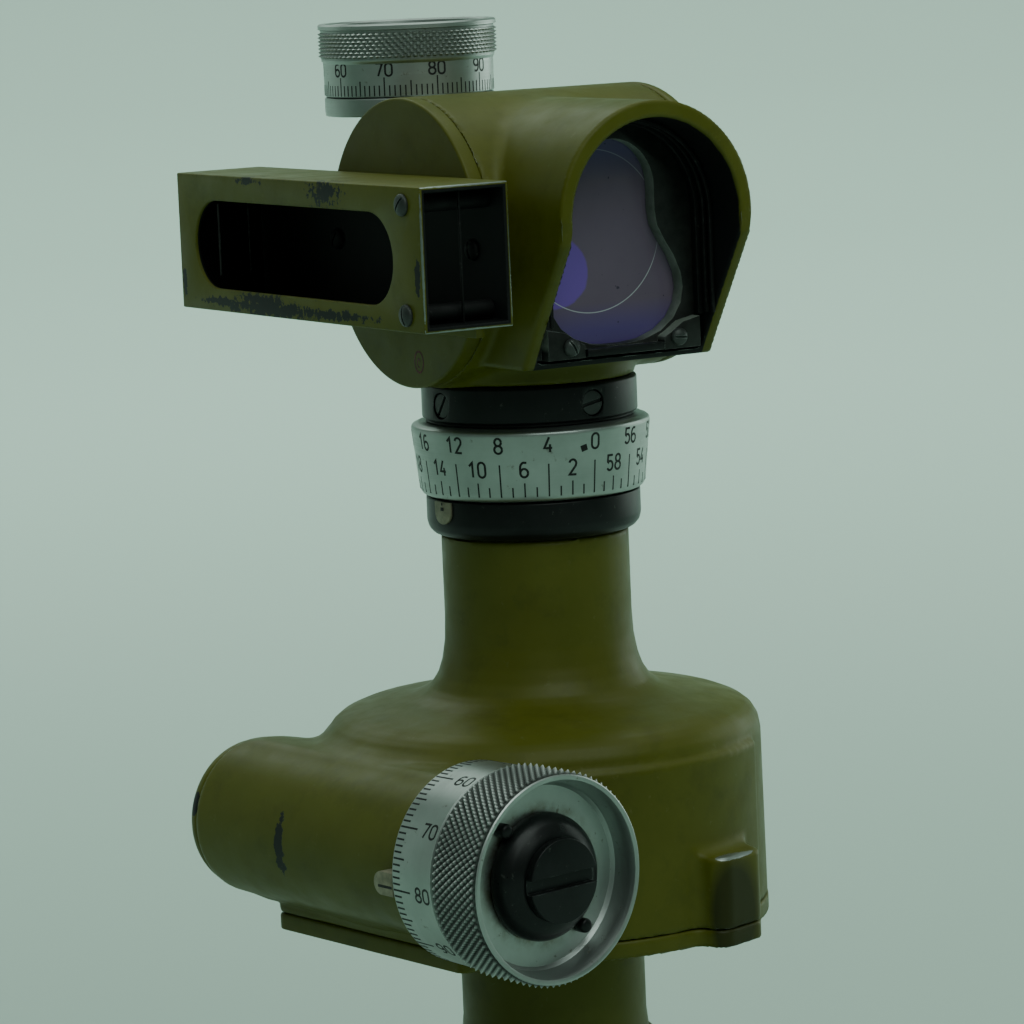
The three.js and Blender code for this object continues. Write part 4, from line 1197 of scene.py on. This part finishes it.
def build_head():
    casting = cast("head_casting", head_field, (-52, -24, 178.5), (47, 26.5, 233.5), 0.65, HEAD)
    finish_mesh(casting, "hood", "turning_head", ("head_housing", "window_hood"), 60)
    near = lathe("near_cover", [(0, 22.4), (HEAD_R, 22.4), (HEAD_R, 25.0), (HEAD_R - 0.3, 25.3), (0, 25.3)],
                 SIDE, 0.3, 160)
    boss = lathe("cutter", [(4.1, 17.5), (7, 17.5), (7, 22.6), (4.1, 22.6)], SIDE)
    finish_mesh(carve(near, [boss], "UNION"), "head", "turning_head", "left_cover")
    far = lathe("far_cover", [(0, -28), (24.2, -28), (25.6, -27.4), (HEAD_R, -26.2), (HEAD_R, -24.5),
                              (0, -24.5)], SIDE, 0.8, 160)
    boss = lathe("cutter", [(4.1, -24.7), (7, -24.7), (7, -17.5), (4.1, -17.5)], SIDE)
    finish_mesh(carve(far, [boss], "UNION"), "head", "turning_head", "right_cover")
    add_stamp()
    add_window()
    add_sight_box()
    add_reflector_drum()


def add_stamp():
    """A small worn ring of red-brown paint on the near cover."""
    ring = Inlay(lambda a, b, lift: (a, b, 25.3 + lift))
    ring.stroke(arc(3.6, -21.2, 1.5, 1.9, 0, 360, 28), 0.42)
    ring.stroke(arc(3.5, -21.4, 0.5, 0.8, 20, 300, 12), 0.3)
    ring.build("inspection_ring", SIDE, "turning_head", "red")


def keyhole():
    """The window frame's opening: a narrow round top running into a wide round foot."""
    side = [(8.8, 215.1), (8.75, 210.8), (9.2, 208), (10.7, 205.2), (12.5, 202.4), (13.8, 199.4),
            (14.2, 196.6), (13.6, 193.8), (11.9, 191.2), (9.2, 189.2), (5.5, 187.9), (2.0, 187.55)]
    left = [(-a, b) for a, b in reversed(side)]
    return left + arc(0, 215.1, 8.8, 8.8, 172, 8, 22) + side


def add_window():
    plate = prism("window_frame_plate", arch(17.3, 185.9, 209.9, 40), 27.75, 30.6, HEAD, facing_x)
    block = [(8.4, 185.9), (16.2, 185.9), (16.2, 191.4), (12.4, 190.6), (9.6, 188.8), (8.4, 188.2)]
    feet = [prism("cutter", [(side * a, b) for a, b in block], 30.2, FOOT_U, HEAD, facing_x)
            for side in (1, -1)]
    feet.append(slab("cutter", 30.2, 32, -8.6, 8.6, 185.9, 187.2, HEAD))
    hole = prism("cutter", keyhole(), 20, 40, HEAD, facing_x)
    plate = bevel(carve(carve(plate, feet, "UNION"), [hole]), 0.25, 2, 50)
    finish_mesh(plate, "frame", "turning_head", "window_frame")
    half = 17.45
    for k, u in enumerate((33.4, 35.4)):
        rib = prism(f"hood_rib_{k + 1}", arch(half, 192, 210.2, 40), u, u + 0.7, HEAD, facing_x)
        hole = prism("cutter", arch(half - 0.7, 180, 210.2, 40), 20, 50, HEAD, facing_x)
        finish_mesh(bevel(carve(rib, [hole]), 0.15, 1, 50), "matt_black", "turning_head")
    ledge = prism("hood_ledge", arch(17.5, 191.5, 210.2, 40), 30.65, 32.2, HEAD, facing_x)
    hole = prism("cutter", arch(16.4, 170, 210.2, 40), 20, 40, HEAD, facing_x)
    ledge = bevel(carve(ledge, [hole]), 0.15, 1, 50)
    finish_mesh(ledge, "matt_black", "turning_head")
    pane = bevel(prism("window_pane", arch(15.6, 186.6, 209.5, 40), 25.5, 27.65, HEAD, facing_x), 0.15, 1, 50)
    finish_mesh(pane, "violet", "turning_head", "window_glass")
    bar = slab("frame_foot_bar", 32.05, 33.3, -8.2, 8.2, 186.0, 187.4, HEAD)
    finish_mesh(bevel(bar, 0.25, 2), "black", "turning_head", "frame_bar")
    for k, y in enumerate((-11.4, 11.4)):
        head = screw_head(f"frame_foot_screw_{k + 1}", 1.6, 1.25, 0.45, 0.5,
                          at(HEAD, FOOT_U + 0.02, y, 188, (0, 90, 0)), 30 + 55 * k, domed=True)
        finish_mesh(head, "worn_screw", "turning_head", f"frame_screw_{k + 1}")


def add_sight_box():
    outer = slab("collimator_box", *BOX_U, -BOX_W[1], -BOX_W[0], *BOX_Z, HEAD)
    wall = 1
    inner = slab("cutter", BOX_U[0] - 1, BOX_U[1] + 1, wall - BOX_W[1], -wall - BOX_W[0],
                 BOX_Z[0] + wall, BOX_Z[1] - wall, HEAD)
    window = prism("cutter", slot_outline(*BOX_WINDOW, 24), 40, 50, HEAD, facing_y)
    box = bevel(carve(outer, [inner, window]), 0.28, 3, 50)
    finish_mesh(box, "box", "turning_head", "sight_box")
    plate = slab("box_bracket", -29, 27, -27.4, -25.4, 190.6, 218.4, HEAD)
    finish_mesh(bevel(plate, 0.35, 2), "head", "turning_head", "sight_mount_plate")
    rear = slab("rear_sight", -47.3, -46.3, -44.4, -28.75, 194.7, 217.7, HEAD)
    slits = [slab("cutter", -50, -44, y0, y1, 199, 212.5, HEAD)
             for y0, y1 in ((-38.15, -37.75), (-31.7, -31.5))]
    finish_mesh(carve(rear, slits), "matt_black", "turning_head", "rear_sight_plate")
    blade = slab("front_sight_wire", 36.6, 37.1, -35.9, -35.5, 194.7, 217.7, HEAD)
    finish_mesh(bevel(blade, 0.12, 2), "matt_black", "turning_head", "front_sight_blade")
    for k, z in enumerate((196.6, 215.6)):
        rod = lathe(f"box_spacer_{k + 1}", [(0.95, 28.75), (1.6, 28.75), (1.6, 44.4), (0.95, 44.4)],
                    at(HEAD, 34.4, 0, z, (90, 0, 0)), 0.1, 40)
        finish_mesh(rod, "matt_black", "turning_head", f"sight_spacer_{k + 1}")
        head = screw_head(f"box_screw_{k + 1}", 1.95, 1.15, 0.5, 0.5,
                          at(HEAD, 34.4, -BOX_W[1] - 0.02, z, (90, 0, 0)), 100 - 50 * k, domed=True)
        finish_mesh(head, "worn_screw", "turning_head", f"sight_screw_{k + 1}")
    for k, u in enumerate((-17.5, 29.5)):
        head = screw_head(f"box_fixing_screw_{k + 1}", 1.9, 1.2, 0.5, 0.5,
                          at(HEAD, u, -28.75, 206.4, (90, 0, 0)), 60 + 40 * k, domed=True)
        finish_mesh(head, "matt_black", "turning_head", f"sight_fixing_screw_{k + 1}")


def add_reflector_drum():
    ring = lathe("elevation_index_ring", [(3.4, 227.3), (DIAL_R, 227.3), (DIAL_R, 230.8), (3.4, 230.8)],
                 REAR, 0.3)
    finish_mesh(ring, "silver", "turning_head", "reflector_index_ring")
    mark = Inlay(ring_wrap(lambda up: DIAL_R))
    across = DIAL_R * rad(-118)
    mark.stroke([(across, 228.0), (across, 230.6)], 0.35)
    mark.build("elevation_index_mark", REAR, "turning_head")

    band = (17.0, 237.9, 243.4, 84, 4, 0.55)
    drum = knurled("elevation_dial", [(15.9, 231), (16.1, 231.2), (16.1, 237.2), (16.4, 237.6)], band,
                   [(16.9, 243.6), (16.9, 244.3), (16.6, 244.6), (15.6, 244.6), (15.3, 244.3), (14.8, 240.9),
                    (14.4, 240.7), (3.3, 240.7), (3.3, 231)], REAR)
    finish_mesh(drum, "rear_drum", "reflector_drive", "reflector_drum", 28)
    ticks = Inlay(ring_wrap(lambda up: DIAL_R))
    for label in range(MARKS):
        across = DIAL_R * rad(DIAL_TURN + (label - 70) * MARK_STEP)
        top = 234.7 if label % 10 == 0 else 234.0 if label % 5 == 0 else 233.2
        ticks.stroke([(across, 231.2), (across, top)], 0.26)
        if label % 10 == 0:
            for stroke in label_strokes(str(label), 2.35, across, 234.95):
                ticks.stroke(stroke, 0.38)
    ticks.build("elevation_dial_marks", REAR, "reflector_drive")
    nut = lathe("elevation_nut", [(3.3, 240.75), (7.2, 240.75), (7.2, 242.4), (6.3, 243.3), (3.3, 243.3)],
                REAR, 0.25, 64)
    slot = slab("cutter", -8, 8, -0.7, 0.7, 242.4, 245, at(REAR, turn=(0, 0, 20)))
    finish_mesh(bevel(carve(nut, [slot]), 0.1, 1, 50), "black", "reflector_drive",
                "reflector_drum_nut")


def paint_cad():
    """Carried-over CAD nodes, most of them inside, keep their shape and get a finished material."""
    table = {
        "black": ["objective_cell", "prism_carrier"],
        "glass": ["objective_lens", "roof_prism", "reticle", "field_lens", "dove_prism", "head_prism"],
        "brass": ["outer_bushing", "worm_wheel", "dove_cage", "tilt_sector"],
        "steel": ["azimuth_worm", "rotor_tube", "tilt_worm"],
    }
    for look, names in table.items():
        for name in names:
            nodes[name].data.materials.clear()
            nodes[name].data.materials.append(looks[look].material)


def make_looks():
    front = -BOX_W[1]
    box_chips = [
        ((-14.5, front, 195.0), (17, 3, 1.3), 4.6, 620, 0.0),
        ((-17.5, front, 196.7), (8, 3, 0.9), 4.4, 700, 0.4),
        ((-33, front, 195.6), (6, 3, 0.7), 4.4, 700, 5.4),
        ((8, front, 195.2), (13, 3, 0.8), 4.8, 700, 1.1),
        ((7.5, front, 216.8), (5.0, 4, 2.0), 5.2, 760, 2.3),
        ((-20.5, front, 218.0), (4.0, 4, 0.7), 4.0, 620, 3.1),
        ((-46.6, front, 198.4), (0.8, 3, 2.2), 2.6, 700, 6.2),
        ((38.4, front, 203.6), (0.9, 3, 3.2), 3.0, 640, 4.4),
    ]
    box_bare = [
        ((BOX_U[1], -36.5, BOX_Z[0]), (0.3, 11, 0.35), 1.1, 700, 0.0),
        ((BOX_U[1], -36.5, BOX_Z[1]), (0.3, 11, 0.3), 1.3, 700, 1.0),
        ((BOX_U[1], -BOX_W[0], 205.8), (0.25, 0.3, 13), 1.2, 700, 2.0),
        ((BOX_U[1], front, 205.8), (0.3, 0.3, 13.4), 1.1, 700, 3.0),
    ]
    return {
        "column": olive_paint("olive_column", chips=[((-8.7, -55.2, 99.8), (1.3, 3, 5.6), 2.6, 520)],
                              bare=[((45.5, 6.5, 95.1), (1.7, 6.2, 0.55), 1.1, 420)],
                              # painted shade on the lug's front face, which lies in shadow
                              shade_patches=[((46.5, 5.5, 84.5), (3.4, 10.5, 13.0))], wear=0.25),
        "cap": olive_paint("olive_cap", chips=[((-4.0, -13.5, -35.9), (2.6, 1.8, 1.4), 0.6, 300)], wear=0.3),
        "head": olive_paint("olive_head", wear=0.4),
        "hood": olive_paint("olive_hood", inside=hood_inside, wear=0.55),
        "box": olive_paint("olive_box", chips=box_chips, bare=box_bare, inside=box_inside, wear=0.8),
        "silver": satin_metal("satin_scale", (0.46, 0.515, 0.49)),
        "drum": satin_metal("satin_drum", (0.445, 0.49, 0.47), stain=0.7,
                            knurl=(DRUM_KNURL_R, 0.62, 40.7, 52.7, 0.85)),
        "rear_drum": satin_metal("satin_rear_drum", (0.50, 0.56, 0.53), stain=0.7,
                                 knurl=(17.0, 0.55, 237.85, 243.45, 0.3)),
        "steel": satin_metal("machined_steel", (0.42, 0.43, 0.43)),
        "black": black_metal("black_fittings"),
        "black_ring": black_metal("black_rings", rough=(0.32, 0.42), wear=0.5),
        "black_glossy": black_metal("black_glossy", rough=(0.26, 0.4), wear=0.5),
        "matt_black": black_metal("matt_black", rough=(0.55, 0.75), wear=0.3, colour=(0.004, 0.0045, 0.0045)),
        "frame": frame_metal("window_frame"),
        "worn_screw": black_metal("worn_screws", rough=(0.35, 0.5), wear=1.3, colour=(0.035, 0.04, 0.038)),
        "ink": ink("scale_ink"),
        "red": ink("red_brown_ink", (0.085, 0.014, 0.008), "olive_paint"),
        "brass": brass("gear_brass"),
        "cream": cream("cream_lacquer"),
        "glass": glass("clear_glass"),
        "violet": coated_glass("violet_glass"),
        "rubber": rubber("eyecup_rubber"),
    }


add_camera()
add_world()
add_stage()
add_lights()

looks = make_looks()
build_column()
build_azimuth_drive()
build_rings()
build_head()
paint_cad()
